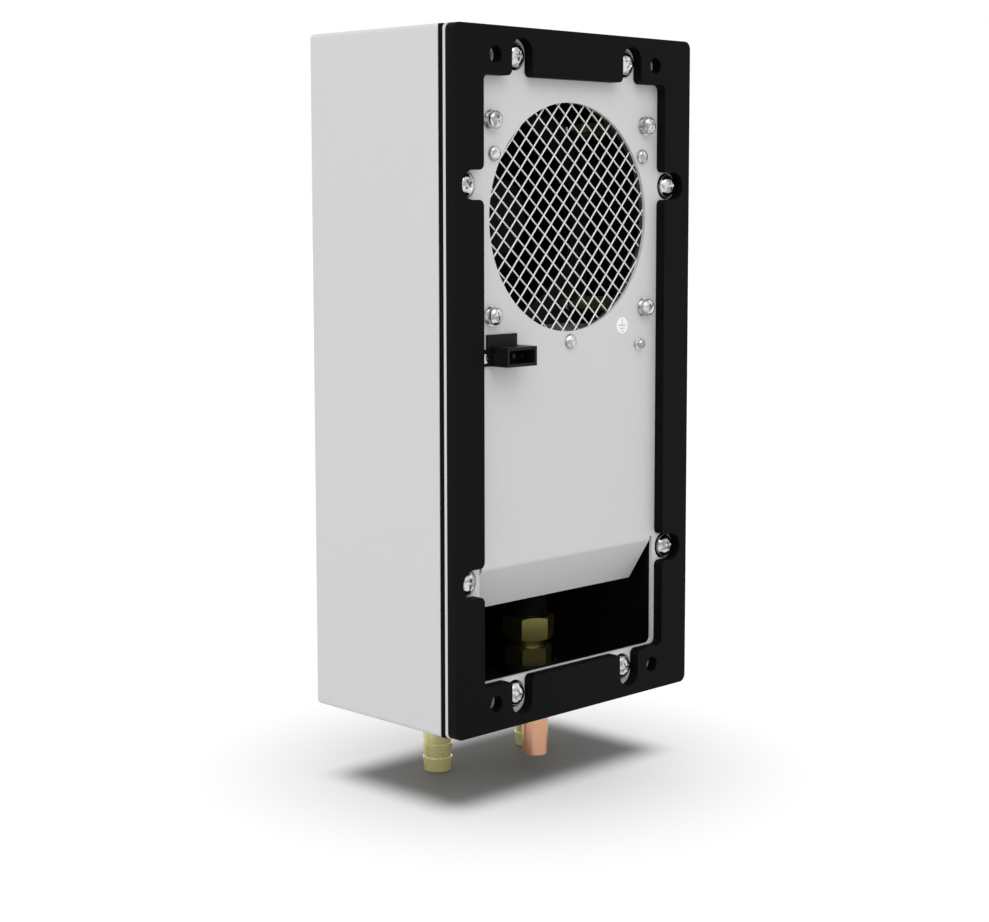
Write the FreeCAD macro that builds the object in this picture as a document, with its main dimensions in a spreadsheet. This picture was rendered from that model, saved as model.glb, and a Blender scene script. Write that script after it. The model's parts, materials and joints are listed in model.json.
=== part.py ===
"""Air-to-water heat exchanger for a small electrical cabinet.

The unit hangs on the outside of a cabinet wall. X runs across it, Z is up and Y points from
the unit into the cabinet. The origin is the middle of the foam gasket's mounting face, so
the whole housing lies at negative Y and only the plug and the earth stud come near Y = 0.
Lengths are millimetres.
"""

import FreeCAD, Part
import math
import os

import Sketcher
from FreeCAD import Placement, Rotation, Vector

doc = FreeCAD.newDocument("heat_exchanger")
sheet = doc.addObject("Spreadsheet::Sheet", "Size")

# Driving dimensions, one name, value and meaning each
SIZES = [
    ("housing_width", 150.0, "outside width of cover, plate and gasket"),
    ("housing_height", 300.0, "outside height of cover, plate and gasket"),
    ("cover_depth", 83.0, "cover from its rear flange to its front face"),
    ("cover_sheet", 1.5, "sheet thickness of the cover"),
    ("cover_corner", 2.0, "outside radius of the folded corners"),
    ("cover_flange_side", 15.8, "cover flange, in from each side"),
    ("cover_flange_end", 18.5, "cover flange, in from top and bottom"),
    ("gasket_thick", 5.0, "mounting gasket"),
    ("gasket_corner", 3.5, "outside corner radius of the gasket"),
    ("gasket_side", 17.2, "gasket beside its opening"),
    ("gasket_end", 20.4, "gasket above and below its opening"),
    ("gasket_open_corner", 2.5, "inside corner radius of the gasket"),
    ("slot_width", 12.4, "gasket slot round each cover screw"),
    ("slot_side_edge", 4.6, "side slots end this far inside the housing's edge"),
    ("slot_end_edge", 4.3, "upright slots end this far inside the housing's edge"),
    ("slot_mouth_radius", 2.6, "rounding where a slot meets the opening"),
    ("mount_side", 24.1, "mounting hole from the side of the housing"),
    ("mount_end", 12.0, "mounting hole from the top and bottom of the housing"),
    ("mount_hole_gasket", 7.2, "hole in the gasket for a mounting screw"),
    ("mount_hole_cover", 9.2, "hole in the cover's flange round a mounting insert"),
    ("mount_thread", 5.0, "mounting thread, M5"),
    ("mount_insert_body", 6.5, "barrel of a mounting insert"),
    ("mount_insert_long", 10.0, "length of a mounting insert under its rim"),
    ("mount_insert_rim", 0.8, "countersunk rim of a mounting insert"),
    ("plate_thick", 1.5, "rear plate sheet"),
    ("plate_corner", 2.5, "outside corner radius of the rear plate"),
    ("seal_thick", 3.0, "seal between plate and cover"),
    ("seal_land", 0.4, "seal standing back from the plate's opening"),
    ("seal_set_back", 0.3, "seal standing back from the outside of the housing"),
    ("air_inlet", 100.0, "round air inlet in the plate"),
    ("fan_below_top", 80.0, "fan's centre below the top of the housing"),
    ("outlet_side", 18.8, "air outlet from the side of the housing"),
    ("outlet_end", 20.8, "lower edge of the air outlet above the bottom of the housing"),
    ("outlet_high", 49.2, "air outlet from its lower edge to the fold of the deflector"),
    ("outlet_corner", 3.0, "lower corners of the air outlet"),
    ("deflector_length", 23.5, "air deflector along its slope"),
    ("deflector_angle", 33.0, "slope of the air deflector from the plate"),
    ("deflector_relief", 1.6, "cut beside the air deflector and above its fold"),
    ("deflector_fold", 3.0, "rounding of the deflector's fold"),
    ("screw_side_edge", 10.6, "cover screws in the sides, from the edge"),
    ("screw_side_z", 84.0, "cover screws in the sides, above and below the middle"),
    ("screw_end_x", 35.0, "cover screws at top and bottom, from the centre line"),
    ("screw_top_edge", 11.6, "upper cover screws from the top edge"),
    ("screw_bottom_edge", 12.8, "lower cover screws from the bottom edge"),
    ("dimple_mouth", 12.4, "mouth of a screw dimple"),
    ("dimple_floor", 11.8, "floor of a screw dimple"),
    ("dimple_mouth_wall", 1.0, "metal round the mouth of a dimple"),
    ("dimple_floor_wall", 1.0, "metal round the floor of a dimple"),
    ("cover_screw_thread", 4.0, "cover screw, M4"),
    ("cover_screw_head", 10.0, "head of a cover screw"),
    ("cover_screw_head_high", 3.0, "height of a cover screw's head"),
    ("cover_screw_long", 12.0, "cover screw under its head"),
    ("screw_seal_thick", 1.0, "sealing ring under a cover screw"),
    ("cover_nut_rim", 9.0, "rim of a blind rivet nut in the cover"),
    ("cover_nut_rim_thick", 0.8, "rim thickness of a blind rivet nut"),
    ("cover_nut_body", 6.0, "barrel of a blind rivet nut"),
    ("cover_nut_long", 8.5, "barrel length of a blind rivet nut"),
    ("wire", 0.75, "wire of the guard mesh"),
    ("mesh_pitch", 6.0, "spacing of the guard wires"),
    ("mesh_angle", 40.6, "slope of one family of guard wires"),
    ("mesh_offset", 2.56, "shift of the other family from the centre"),
    ("mesh_overlap", 1.0, "mesh behind the rim of the air inlet"),
    ("mesh_layer_gap", 0.01, "gap between the two layers of guard wires"),
    ("mesh_ring_gap", 0.3, "mesh clear of the ring round it"),
    ("guard_ring_sheet", 0.8, "sheet of the ring that holds the mesh"),
    ("guard_ring_lip", 1.2, "lip of the ring behind the mesh"),
    ("guard_ring_wide", 6.5, "ring outside the rim of the air inlet"),
    ("rivet_margin", 4.5, "rivets outside the rim of the air inlet"),
    ("rivet_shank", 3.2, "rivet shank"),
    ("rivet_head", 6.4, "rivet head"),
    ("rivet_head_high", 1.5, "height of a rivet head"),
    ("rivet_tail", 4.4, "closed end of a rivet"),
    ("rivet_tail_long", 2.4, "its length"),
    ("rivet_tail_bevel", 0.5, "its rounded end"),
    ("fan_screw_x", 49.0, "fan carrier screws from the centre line"),
    ("fan_screw_z", 41.2, "fan carrier screws above and below the fan's centre"),
    ("fan_screw_head", 7.2, "head of a fan carrier screw"),
    ("fan_screw_head_high", 2.6, "height of a fan carrier screw's head"),
    ("fan_screw_long", 10.0, "fan carrier screw under its head"),
    ("fan_washer", 8.6, "washer under a fan carrier screw"),
    ("fan_washer_thick", 0.8, "thickness of the washer"),
    ("standoff_flats", 7.0, "brass spacer across its flats"),
    ("standoff_long", 38.0, "brass spacer length"),
    ("standoff_thread", 4.0, "thread at the rear of a spacer, M4"),
    ("standoff_front_thread", 3.0, "thread at the front of a spacer, M3"),
    ("carrier_washer", 9.0, "washer between spacer and fan carrier"),
    ("carrier_washer_thick", 0.8, "its thickness"),
    ("carrier_sheet", 1.5, "fan carrier sheet"),
    ("carrier_margin", 5.5, "fan carrier outside its screws"),
    ("carrier_corner", 3.3, "corners of the fan carrier"),
    ("carrier_below_fan", 62.0, "lower edge of the fan carrier below the fan's centre"),
    ("shelf_below_fan", 50.0, "shelf below the fan's centre"),
    ("shelf_half", 44.0, "shelf from the centre line"),
    ("shelf_back", 10.5, "rear edge of the shelf in front of the gasket face"),
    ("shelf_foot", 9.0, "foot of the shelf on the fan carrier"),
    ("shelf_sheet", 1.0, "shelf sheet"),
    ("carrier_screw_head", 5.4, "head of a spacer's front screw"),
    ("carrier_screw_head_high", 2.0, "its height"),
    ("carrier_screw_long", 8.0, "its length under the head"),
    ("fan_side", 92.0, "fan frame"),
    ("fan_deep", 25.4, "fan frame along the air flow"),
    ("fan_flange", 4.0, "corner flanges of the fan frame"),
    ("fan_duct", 88.0, "bore of the fan frame"),
    ("fan_wall", 1.9, "wall of the fan frame's duct"),
    ("fan_bolt_pitch", 82.5, "bolt spacing of the fan"),
    ("fan_bolt", 4.0, "fan bolt, M4"),
    ("fan_bolt_head", 6.0, "head of a fan bolt"),
    ("fan_bolt_head_high", 2.4, "height of a fan bolt's head"),
    ("fan_bolt_long", 10.0, "fan bolt under its head"),
    ("fan_bolt_hole", 4.3, "hole for a fan bolt"),
    ("fan_nut_flats", 7.0, "nut of a fan bolt"),
    ("fan_nut_high", 3.2, "height of that nut"),
    ("hub_outer", 38.0, "fan hub"),
    ("hub_deep", 19.0, "fan hub along its axis"),
    ("hub_wall", 2.0, "wall of the fan hub"),
    ("blade_tip", 42.6, "blade tips from the fan's axis"),
    ("blade_count", 7.0, "blades of the rotor"),
    ("blade_thick", 1.8, "blade at its root and tip"),
    ("blade_root_chord", 18.5, "blade chord at the hub"),
    ("blade_tip_chord", 27.0, "blade chord at the tip"),
    ("blade_root_angle", 47.0, "blade slope at the hub, from the fan's plane"),
    ("blade_tip_angle", 27.0, "blade slope at the tip, from the fan's plane"),
    ("blade_camber", 2.0, "bow of the blade section"),
    ("blade_root_sink", 1.2, "blade root inside the wall of the hub"),
    ("blade_allowance", 1.0, "blade before its tip is turned down"),
    ("strut_wide", 6.0, "strut of the fan frame"),
    ("strut_deep", 3.0, "strut along the air flow"),
    ("motor_seat", 36.0, "motor seat of the fan frame"),
    ("fan_shaft", 3.0, "fan shaft"),
    ("shaft_end_gap", 0.3, "shaft short of the hub's face and of the motor seat"),
    ("bearing_outer", 6.0, "fan bearing"),
    ("bearing_long", 4.0, "length of a fan bearing"),
    ("bearing_fit", 0.03, "running clearance of the shaft, on the radius"),
    ("bearing_tube_wall", 1.5, "wall of the bearing tube"),
    ("bearing_tube_long", 13.0, "length of the bearing tube"),
    ("stator_outer", 30.0, "stator of the fan motor"),
    ("stator_long", 10.0, "stator along the axis"),
    ("rotor_gap", 0.8, "hub clear of the motor seat"),
    ("fin_thick", 1.2, "one fin of the coil, as a bundle of thin leaves"),
    ("coil_side", 29.4, "fins from the side of the housing"),
    ("fin_count", 11.0, "number of fins"),
    ("fin_collar", 1.0, "wall of the fin collars on the tubes"),
    ("coil_front", 82.0, "front edge of the fins, in front of the gasket face"),
    ("coil_deep", 60.0, "fins along Y"),
    ("coil_top", 16.0, "top edge of the fins below the middle"),
    ("coil_high", 52.0, "height of the fins"),
    ("coil_tube", 9.5, "coil tube"),
    ("coil_pitch", 18.0, "tube spacing in a row"),
    ("coil_row", 21.0, "spacing of the two rows"),
    ("coil_edge", 15.0, "first tube from the front edge of the fins"),
    ("coil_low", 14.0, "lower row above the bottom of the fins"),
    ("coil_stub", 3.0, "straight tube past an end plate, before a bend"),
    ("coil_end", 6.0, "tube past an end plate, where a pipe is brazed on"),
    ("coil_tube_wall", 1.0, "wall of the coil tube and the pipes"),
    ("end_plate_sheet", 1.0, "end plates of the coil"),
    ("end_plate_foot", 9.0, "foot of an end plate on the rear plate"),
    ("liner_thick", 3.0, "insulation inside the cover"),
    ("liner_gap", 0.1, "glue line of the insulation"),
    ("port_x", 30.0, "water ports from the centre line"),
    ("port_depth", 60.0, "water ports in front of the gasket face"),
    ("barb_reach", 33.4, "end of the hose tails below the housing"),
    ("barb_ridge", 13.8, "widest part of a hose tail ridge"),
    ("barb_neck", 12.3, "narrow end of a ridge"),
    ("barb_pitch", 6.3, "spacing of the ridges"),
    ("barb_count", 3.0, "ridges on a hose tail"),
    ("barb_bore", 8.0, "water way of the hose tails' ridges"),
    ("stem_bore", 7.0, "water way of the stems and couplings"),
    ("barb_hex", 17.0, "spanner flats of a hose tail"),
    ("barb_hex_high", 5.0, "height of those flats"),
    ("port_thread", 14.0, "threaded stem through the cover's floor"),
    ("port_hole_gap", 0.25, "clearance of the stem in the cover, on the radius"),
    ("port_seal_thick", 1.0, "flat seal under a hose tail"),
    ("stem_reach", 8.0, "stem inside the coupling"),
    ("stem_end_gap", 0.5, "end of the stem short of the coupling's shoulder"),
    ("port_seal_margin", 0.8, "flat seal outside the flats of the hose tail"),
    ("join_depth", 1.0, "turned necks sunk in the hexagon they join"),
    ("coupling_hex", 20.0, "spanner flats of a coupling body"),
    ("coupling_hex_high", 13.9, "height of that hexagon"),
    ("coupling_neck", 16.0, "neck between the two hexagons"),
    ("coupling_neck_high", 3.6, "height of the neck"),
    ("union_hex", 22.0, "spanner flats of a union nut"),
    ("union_high", 11.2, "height of a union nut"),
    ("hex_chamfer", 1.44, "hexagon corners turned down, on the radius"),
    ("pipe_bend", 12.0, "middle radius of the pipe bends"),
    ("pipe_gap", 0.65, "sleeve on a pipe clear of the insulation"),
    ("pipe_joint", 100.0, "pipes turn upright here, below the middle"),
    ("supply_low", 82.0, "supply pipe turns inwards here, below the middle"),
    ("return_low", 78.0, "return pipe turns inwards here, below the middle"),
    ("sleeve_wall", 4.0, "insulating sleeve on a pipe"),
    ("sleeve_top", 69.0, "upper end of the sleeves below the middle"),
    ("sleeve_gap", 0.6, "end of a sleeve above the union nut"),
    ("drain_depth", 26.5, "drain tube in front of the gasket face"),
    ("drain_tube", 12.0, "condensate drain tube"),
    ("drain_wall", 1.0, "wall of the drain tube"),
    ("drain_reach", 24.9, "end of the drain tube below the housing"),
    ("drain_rim", 15.0, "flared rim of the drain tube on the tray"),
    ("drain_rim_high", 1.0, "thickness of that rim"),
    ("drain_ring_neck", 0.5, "wall of the rubber ring inside the cover's floor"),
    ("drain_ring_wall", 1.6, "width of the rubber ring's flange round the tube"),
    ("drain_ring_high", 1.2, "thickness of that flange"),
    ("tray_wall", 1.5, "condensate tray"),
    ("tray_high", 6.5, "height of the tray's rim"),
    ("tray_gap", 0.5, "tray clear of the insulation"),
    ("tray_collar_gap", 1.0, "tray collar clear of a coupling's corners"),
    ("plug_side", 33.6, "plug socket's middle from the side of the housing"),
    ("plug_below_fan", 58.35, "plug socket below the fan's centre"),
    ("plug_width", 17.8, "plug socket"),
    ("plug_high", 8.3, "plug socket"),
    ("plug_out", 6.2, "plug socket in front of the gasket face, towards the cabinet"),
    ("plug_wall", 1.3, "wall of the plug socket"),
    ("plug_cavity", 8.6, "depth of the plug socket"),
    ("plug_flange_thick", 1.2, "flange of the plug"),
    ("plug_ear_thick", 0.9, "fixing ears of the plug"),
    ("plug_ear_high", 7.2, "height of the fixing ears"),
    ("plug_ear_end", 3.2, "ears outside their screws"),
    ("plug_flange_far", 10.7, "raised flange of the plug, from its middle to the far side"),
    ("plug_flange_near", 7.0, "raised flange of the plug, from its middle to the near side"),
    ("plug_flange_up", 9.25, "raised flange above the plug's middle"),
    ("plug_screw_pitch", 24.6, "fixing screws of the plug"),
    ("plug_screw_low", 0.7, "fixing screws below the plug's middle"),
    ("plug_screw", 2.5, "fixing screw of the plug"),
    ("plug_screw_long", 6.0, "its length under the head"),
    ("plug_screw_head", 4.4, "its head"),
    ("plug_screw_head_high", 1.6, "height of its head"),
    ("plug_body_back", 9.0, "plug body behind the plate"),
    ("pole_pitch", 5.0, "spacing of the contacts"),
    ("pole_size", 1.6, "square contact"),
    ("pole_gap", 5.0, "contact tips behind the socket's mouth"),
    ("pole_tail", 2.0, "contacts behind the plug body"),
    ("earth_side", 29.5, "earth stud from the side of the housing"),
    ("earth_below_fan", 57.8, "earth stud below the fan's centre"),
    ("earth_stud", 4.0, "earth stud, M4"),
    ("earth_long", 3.5, "earth stud outside the plate"),
    ("earth_chamfer", 0.4, "chamfer of the stud's end"),
    ("earth_foot", 7.0, "weld foot of the earth stud"),
    ("earth_foot_thick", 0.8, "its thickness"),
    ("label_x", 34.3, "earth label from the centre line"),
    ("label_below_fan", 49.0, "earth label below the fan's centre"),
    ("label", 7.6, "earth label"),
    ("label_thick", 0.3, "earth label"),
    ("fit_gap", 0.1, "clearance of screws, rivets and inserts in their holes, on the radius"),
]

for row, (alias, number, meaning) in enumerate(SIZES, 1):
    sheet.set(f"A{row}", alias)
    sheet.set(f"B{row}", str(number))
    sheet.setAlias(f"B{row}", alias)
    sheet.set(f"C{row}", meaning)

# Levels along Y and Z that several pieces share, worked out in the sheet
LEVELS = [
    ("plate_rear", "=gasket_thick"),
    ("plate_front", "=gasket_thick + plate_thick"),
    ("cover_rear", "=plate_front + seal_thick"),
    ("cover_front", "=cover_rear + cover_depth"),
    ("dimple_deep", "=seal_thick - cover_nut_rim_thick"),
    ("carrier_rear", "=plate_front + standoff_long + carrier_washer_thick"),
    ("fan_rear", "=carrier_rear + carrier_sheet"),
    ("fan_front", "=fan_rear + fan_deep"),
    ("half_width", "=housing_width / 2"),
    ("half_height", "=housing_height / 2"),
    ("gasket_open_width", "=housing_width - 2 * gasket_side"),
    ("gasket_open_height", "=housing_height - 2 * gasket_end"),
    ("slot_side_end", "=half_width - slot_side_edge"),
    ("slot_upright_end", "=half_height - slot_end_edge"),
    ("mount_hole_x", "=half_width - mount_side"),
    ("mount_hole_z", "=half_height - mount_end"),
    ("screw_side_x", "=half_width - screw_side_edge"),
    ("screw_top_z", "=half_height - screw_top_edge"),
    ("screw_bottom_z", "=half_height - screw_bottom_edge"),
    ("outlet_half_width", "=half_width - outlet_side"),
    ("outlet_bottom", "=half_height - outlet_end"),
    ("outlet_top", "=outlet_bottom - outlet_high"),
    ("fan_height", "=half_height - fan_below_top"),
    ("mesh_radius", "=air_inlet / 2 + mesh_overlap"),
    ("guard_ring_outer", "=air_inlet / 2 + guard_ring_wide"),
    ("rivet_circle", "=air_inlet / 2 + rivet_margin"),
    ("shelf_top", "=fan_height - shelf_below_fan"),
    ("carrier_low", "=fan_height - carrier_below_fan"),
    ("coil_half", "=half_width - coil_side"),
    ("fin_pitch", "=(2 * coil_half - fin_thick) / (fin_count - 1)"),
    ("cover_floor", "=housing_height / 2 - cover_sheet"),
    ("liner_half_width", "=housing_width / 2 - cover_sheet - liner_gap - liner_thick"),
    ("liner_front", "=cover_front - cover_sheet - liner_gap - liner_thick"),
    ("pipe_side", "=liner_half_width - pipe_gap - sleeve_wall - coil_tube / 2"),
    ("barb_tip", "=half_height + barb_reach"),
    ("drain_end", "=half_height + drain_reach"),
    ("plug_x", "=half_width - plug_side"),
    ("plug_z", "=fan_height - plug_below_fan"),
    ("plug_flange_left", "=plug_x + plug_flange_far"),
    ("plug_flange_right", "=plug_x - plug_flange_near"),
    ("plug_flange_top", "=plug_z + plug_flange_up"),
    ("earth_x", "=half_width - earth_side"),
    ("earth_z", "=fan_height - earth_below_fan"),
    ("label_z", "=fan_height - label_below_fan"),
    ("coupling_top", "=cover_floor - coupling_hex_high - coupling_neck_high"),
    ("union_top", "=coupling_top - union_high"),
]

for row, (alias, formula) in enumerate(LEVELS, len(SIZES) + 2):
    sheet.set(f"A{row}", alias)
    sheet.set(f"B{row}", formula)
    sheet.setAlias(f"B{row}", alias)

doc.recompute()

# Directions of the three guard rivets from the fan's axis, in degrees
RIVET_TURNS = (30, 150, 270)

# Outlines of the heads: radius as a share of the diameter, height as a share of the height
PAN_HEAD = ((0.5, 0.0), (0.5, 0.55), (0.41, 0.86), (0.24, 1.0), (0.0, 1.0))
ROUND_HEAD = ((0.5, 0.0), (0.42, 0.55), (0.24, 0.9), (0.0, 1.0))


def num(formula):
    """Value of a formula over the sheet's names, such as 'Size.wire * 2'."""
    return float(sheet.evalExpression(formula))


def bind(thing, **formulas):
    """Bind properties of an object to formulas over the sheet."""
    for name, formula in formulas.items():
        thing.setExpression(name, formula)


def place(thing, x="0", y="0", z="0"):
    """Bind the position of an object to three formulas."""
    for axis, formula in zip("xyz", (x, y, z)):
        thing.setExpression(f".Placement.Base.{axis}", formula)


def new_body(label):
    """An empty body whose label names its file."""
    made = doc.addObject("PartDesign::Body", label)
    made.Label = label
    return made


def new_sketch(owner, name, role, offset="0"):
    """A sketch on one of the body's own planes, moved along the plane's normal."""
    made = owner.newObject("Sketcher::SketchObject", name)
    plane = [item for item in owner.Origin.OriginFeatures if item.Role == role][0]
    made.AttachmentSupport = [(plane, "")]
    made.MapMode = "FlatFace"
    made.setExpression("AttachmentOffset.Base.z", offset)
    return made


def pin_point(sketch, geometry, end, across, up):
    """Hold one point of a sketch at two formulas."""
    for kind, formula in (("DistanceX", across), ("DistanceY", up)):
        held = Sketcher.Constraint(kind, -1, 1, geometry, end, num(formula))
        sketch.setExpression(f"Constraints[{sketch.addConstraint(held)}]", formula)


def polygon(sketch, points):
    """A closed outline through points given as pairs of formulas."""
    corners = [Vector(num(across), num(up), 0) for across, up in points]
    first = sketch.GeometryCount
    for index, corner in enumerate(corners):
        following = corners[(index + 1) % len(corners)]
        sketch.addGeometry(Part.LineSegment(corner, following), False)
    for index in range(len(corners)):
        following = first + (index + 1) % len(corners)
        sketch.addConstraint(Sketcher.Constraint("Coincident", first + index, 2, following, 1))
    for index, (across, up) in enumerate(points):
        pin_point(sketch, first + index, 1, across, up)


def rectangle(sketch, across, up, width, height):
    """An upright rectangle about a centre."""
    sides = [(-1, -1), (1, -1), (1, 1), (-1, 1)]
    polygon(sketch, [(f"{across} + ({i}) * ({width}) / 2", f"{up} + ({j}) * ({height}) / 2")
                     for i, j in sides])


def circle(sketch, across, up, diameter):
    """A circle about a centre."""
    drawn = Part.Circle(Vector(num(across), num(up), 0), Vector(0, 0, 1), num(diameter) / 2)
    index = sketch.addGeometry(drawn, False)
    pin_point(sketch, index, 3, across, up)
    held = Sketcher.Constraint("Radius", index, num(diameter) / 2)
    sketch.setExpression(f"Constraints[{sketch.addConstraint(held)}]", f"({diameter}) / 2")


def slot(sketch, begin, end, width):
    """A slot that is square at its beginning and round at its end."""
    start = Vector(num(begin[0]), num(begin[1]), 0)
    stop = Vector(num(end[0]), num(end[1]), 0)
    ahead = (stop - start).normalize()
    aside = Vector(-ahead.y, ahead.x, 0) * (num(width) / 2)
    first = sketch.GeometryCount
    sketch.addGeometry(Part.LineSegment(start + aside, start - aside), False)
    sketch.addGeometry(Part.LineSegment(start - aside, stop - aside), False)
    tip = stop + ahead * (num(width) / 2)
    sketch.addGeometry(Part.Arc(stop - aside, tip, stop + aside), False)
    sketch.addGeometry(Part.LineSegment(stop + aside, start + aside), False)
    straight = "Vertical" if abs(ahead.x) < 0.5 else "Horizontal"
    crossing = "Horizontal" if straight == "Vertical" else "Vertical"
    for constraint in (
            Sketcher.Constraint("Coincident", first, 2, first + 1, 1),
            Sketcher.Constraint("Coincident", first + 3, 2, first, 1),
            Sketcher.Constraint("Tangent", first + 1, 2, first + 2, 1),
            Sketcher.Constraint("Tangent", first + 2, 2, first + 3, 1),
            Sketcher.Constraint(crossing, first),
            Sketcher.Constraint(straight, first + 1),
            Sketcher.Constraint(straight, first + 3)):
        sketch.addConstraint(constraint)
    pin_point(sketch, first + 2, 3, end[0], end[1])
    held = Sketcher.Constraint("Radius", first + 2, num(width) / 2)
    sketch.setExpression(f"Constraints[{sketch.addConstraint(held)}]", f"({width}) / 2")
    across = straight == "Horizontal"
    kind, formula = ("DistanceX", begin[0]) if across else ("DistanceY", begin[1])
    reach = Sketcher.Constraint(kind, -1, 1, first, 1, num(formula))
    sketch.setExpression(f"Constraints[{sketch.addConstraint(reach)}]", formula)


def hexagon(sketch, across, up, flats):
    """A hexagon with two flats square to the sketch's first axis."""
    corner = f"({flats}) / sqrt(3)"
    turns = [30 + 60 * step for step in range(6)]
    polygon(sketch, [(f"{across} + {corner} * cos({turn} deg)",
                      f"{up} + {corner} * sin({turn} deg)") for turn in turns])


def pad(owner, sketch, name, length):
    """Add material from a sketch along its normal."""
    made = owner.newObject("PartDesign::Pad", name)
    made.Profile = sketch
    bind(made, Length=length)
    return made


def pocket(owner, sketch, name, length):
    """Cut from a sketch along its normal, and check that something was cut."""
    doc.recompute()
    before = owner.Shape.Volume
    made = owner.newObject("PartDesign::Pocket", name)
    made.Profile = sketch
    made.Reversed = True
    bind(made, Length=length)
    doc.recompute()
    if owner.Shape.Volume >= before - 1e-6:
        raise RuntimeError(f"{owner.Label}: {name} cuts nothing")
    return made


def revolve(owner, sketch, name, axis="V_Axis"):
    """Turn a profile round an axis of its own sketch."""
    made = owner.newObject("PartDesign::Revolution", name)
    made.Profile = sketch
    made.ReferenceAxis = (sketch, [axis])
    made.Angle = 360
    return made


def round_edges(owner, base, name, radius, chosen):
    """Fillet the edges of a feature that a test picks."""
    doc.recompute()
    names = [f"Edge{i}" for i, edge in enumerate(base.Shape.Edges, 1) if chosen(edge)]
    made = owner.newObject("PartDesign::Fillet", name)
    made.Base = (base, names)
    bind(made, Radius=radius)
    return made


def along(edge, axis):
    """True for a straight edge that runs along an axis."""
    if not isinstance(edge.Curve, Part.Line):
        return False
    return abs(abs(edge.Curve.Direction.dot(axis)) - 1) < 1e-6


def group(label, source, places):
    """Copies of one piece, side by side in one named group."""
    copies = []
    for index, spot in enumerate(places):
        copy = doc.addObject("App::Link", f"{label}_{index + 1}")
        copy.LinkedObject = source
        place(copy, *spot)
        copies.append(copy)
    made = doc.addObject("Part::Compound", label)
    made.Label = label
    made.Links = copies
    return made


def four_places(across, height, depth, about="0"):
    """The four corners of a rectangle in the plate's plane."""
    return [(f"({i}) * {across}", f"-({depth})", f"{about} + ({j}) * {height}")
            for i in (1, -1) for j in (1, -1)]


def cover_screw_places(depth):
    """The eight cover screws round the edge of the plate."""
    sides = four_places("Size.screw_side_x", "Size.screw_side_z", depth)
    ends = [(f"({i}) * Size.screw_end_x", f"-({depth})", height)
            for i in (1, -1) for height in ("Size.screw_top_z", "-Size.screw_bottom_z")]
    return sides + ends


def turned_piece(label, points):
    """A piece turned about the Y axis from a half outline of radius and Y."""
    made = new_body(label)
    sketch = new_sketch(made, f"{label}_profile", "XY_Plane")
    polygon(sketch, points)
    revolve(made, sketch, f"{label}_turned")
    return made


def upright_piece(label, points):
    """A piece turned about the Z axis from a half outline of radius and height."""
    made = new_body(label)
    sketch = new_sketch(made, f"{label}_profile", "XZ_Plane")
    polygon(sketch, points)
    revolve(made, sketch, f"{label}_turned")
    return made


kept = []


def make_cover():
    """The outer box: one folded sheet, open at the rear, with flanges turned inwards."""
    cover = new_body("cover")
    outline = new_sketch(cover, "cover_outline", "XZ_Plane", "Size.cover_rear")
    rectangle(outline, "0", "0", "Size.housing_width", "Size.housing_height")
    block = pad(cover, outline, "cover_block", "Size.cover_depth")
    front = -num("Size.cover_front")

    def folded(edge):
        ends = [vertex.Point.y for vertex in edge.Vertexes]
        return along(edge, Vector(0, 1, 0)) or max(abs(end - front) for end in ends) < 1e-6

    round_edges(cover, block, "cover_folds", "Size.cover_corner", folded)
    inside = new_sketch(cover, "cover_inside", "XZ_Plane", "Size.cover_rear + Size.cover_sheet")
    rectangle(inside, "0", "0", "Size.housing_width - 2 * Size.cover_sheet",
              "Size.housing_height - 2 * Size.cover_sheet")
    pocket(cover, inside, "cover_hollow", "Size.cover_depth - 2 * Size.cover_sheet")
    window = new_sketch(cover, "cover_window", "XZ_Plane", "Size.cover_rear")
    rectangle(window, "0", "0", "Size.housing_width - 2 * Size.cover_flange_side",
              "Size.housing_height - 2 * Size.cover_flange_end")
    pocket(cover, window, "cover_opening", "Size.cover_sheet")
    nuts = new_sketch(cover, "cover_nut_holes", "XZ_Plane", "Size.cover_rear")
    for across, depth, height in cover_screw_places("0"):
        circle(nuts, across, height, "Size.cover_nut_body + 2 * Size.fit_gap")
    for across, depth, height in four_places("Size.mount_hole_x", "Size.mount_hole_z", "0"):
        circle(nuts, across, height, "Size.mount_hole_cover")
    pocket(cover, nuts, "cover_nut_cuts", "Size.cover_sheet")
    floor = new_sketch(cover, "cover_ports", "XY_Plane", "-Size.housing_height / 2")
    for side in (1, -1):
        circle(floor, f"({side}) * Size.port_x", "-Size.port_depth",
               "Size.port_thread + 2 * Size.port_hole_gap")
    circle(floor, "0", "-Size.drain_depth",
           "Size.drain_tube + 2 * Size.drain_ring_neck + 2 * Size.fit_gap")
    pocket(cover, floor, "cover_port_cuts", "Size.cover_sheet")
    kept.append(cover)


def make_cover_seal():
    """The black rubber frame squeezed between cover and plate."""
    seal = new_body("cover_seal")
    frame = new_sketch(seal, "seal_frame", "XZ_Plane", "Size.plate_front")
    rectangle(frame, "0", "0", "Size.housing_width - 2 * Size.seal_set_back",
              "Size.housing_height - 2 * Size.seal_set_back")
    rectangle(frame, "0", "0", "2 * (Size.outlet_half_width + Size.seal_land)",
              "2 * (Size.outlet_bottom + Size.seal_land)")
    pad(seal, frame, "seal_strip", "Size.seal_thick")
    holes = new_sketch(seal, "seal_holes", "XZ_Plane", "Size.plate_front")
    for across, depth, height in cover_screw_places("0"):
        circle(holes, across, height,
               "Size.dimple_mouth + 2 * (Size.dimple_mouth_wall + Size.fit_gap)")
    pocket(seal, holes, "seal_cuts", "Size.seal_thick")
    corners = new_sketch(seal, "seal_insert_holes", "XZ_Plane", "Size.plate_front")
    for across, depth, height in four_places("Size.mount_hole_x", "Size.mount_hole_z", "0"):
        circle(corners, across, height, "Size.mount_insert_body + 2 * Size.fit_gap")
    pocket(seal, corners, "seal_insert_cuts", "Size.seal_thick")
    kept.append(seal)


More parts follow.
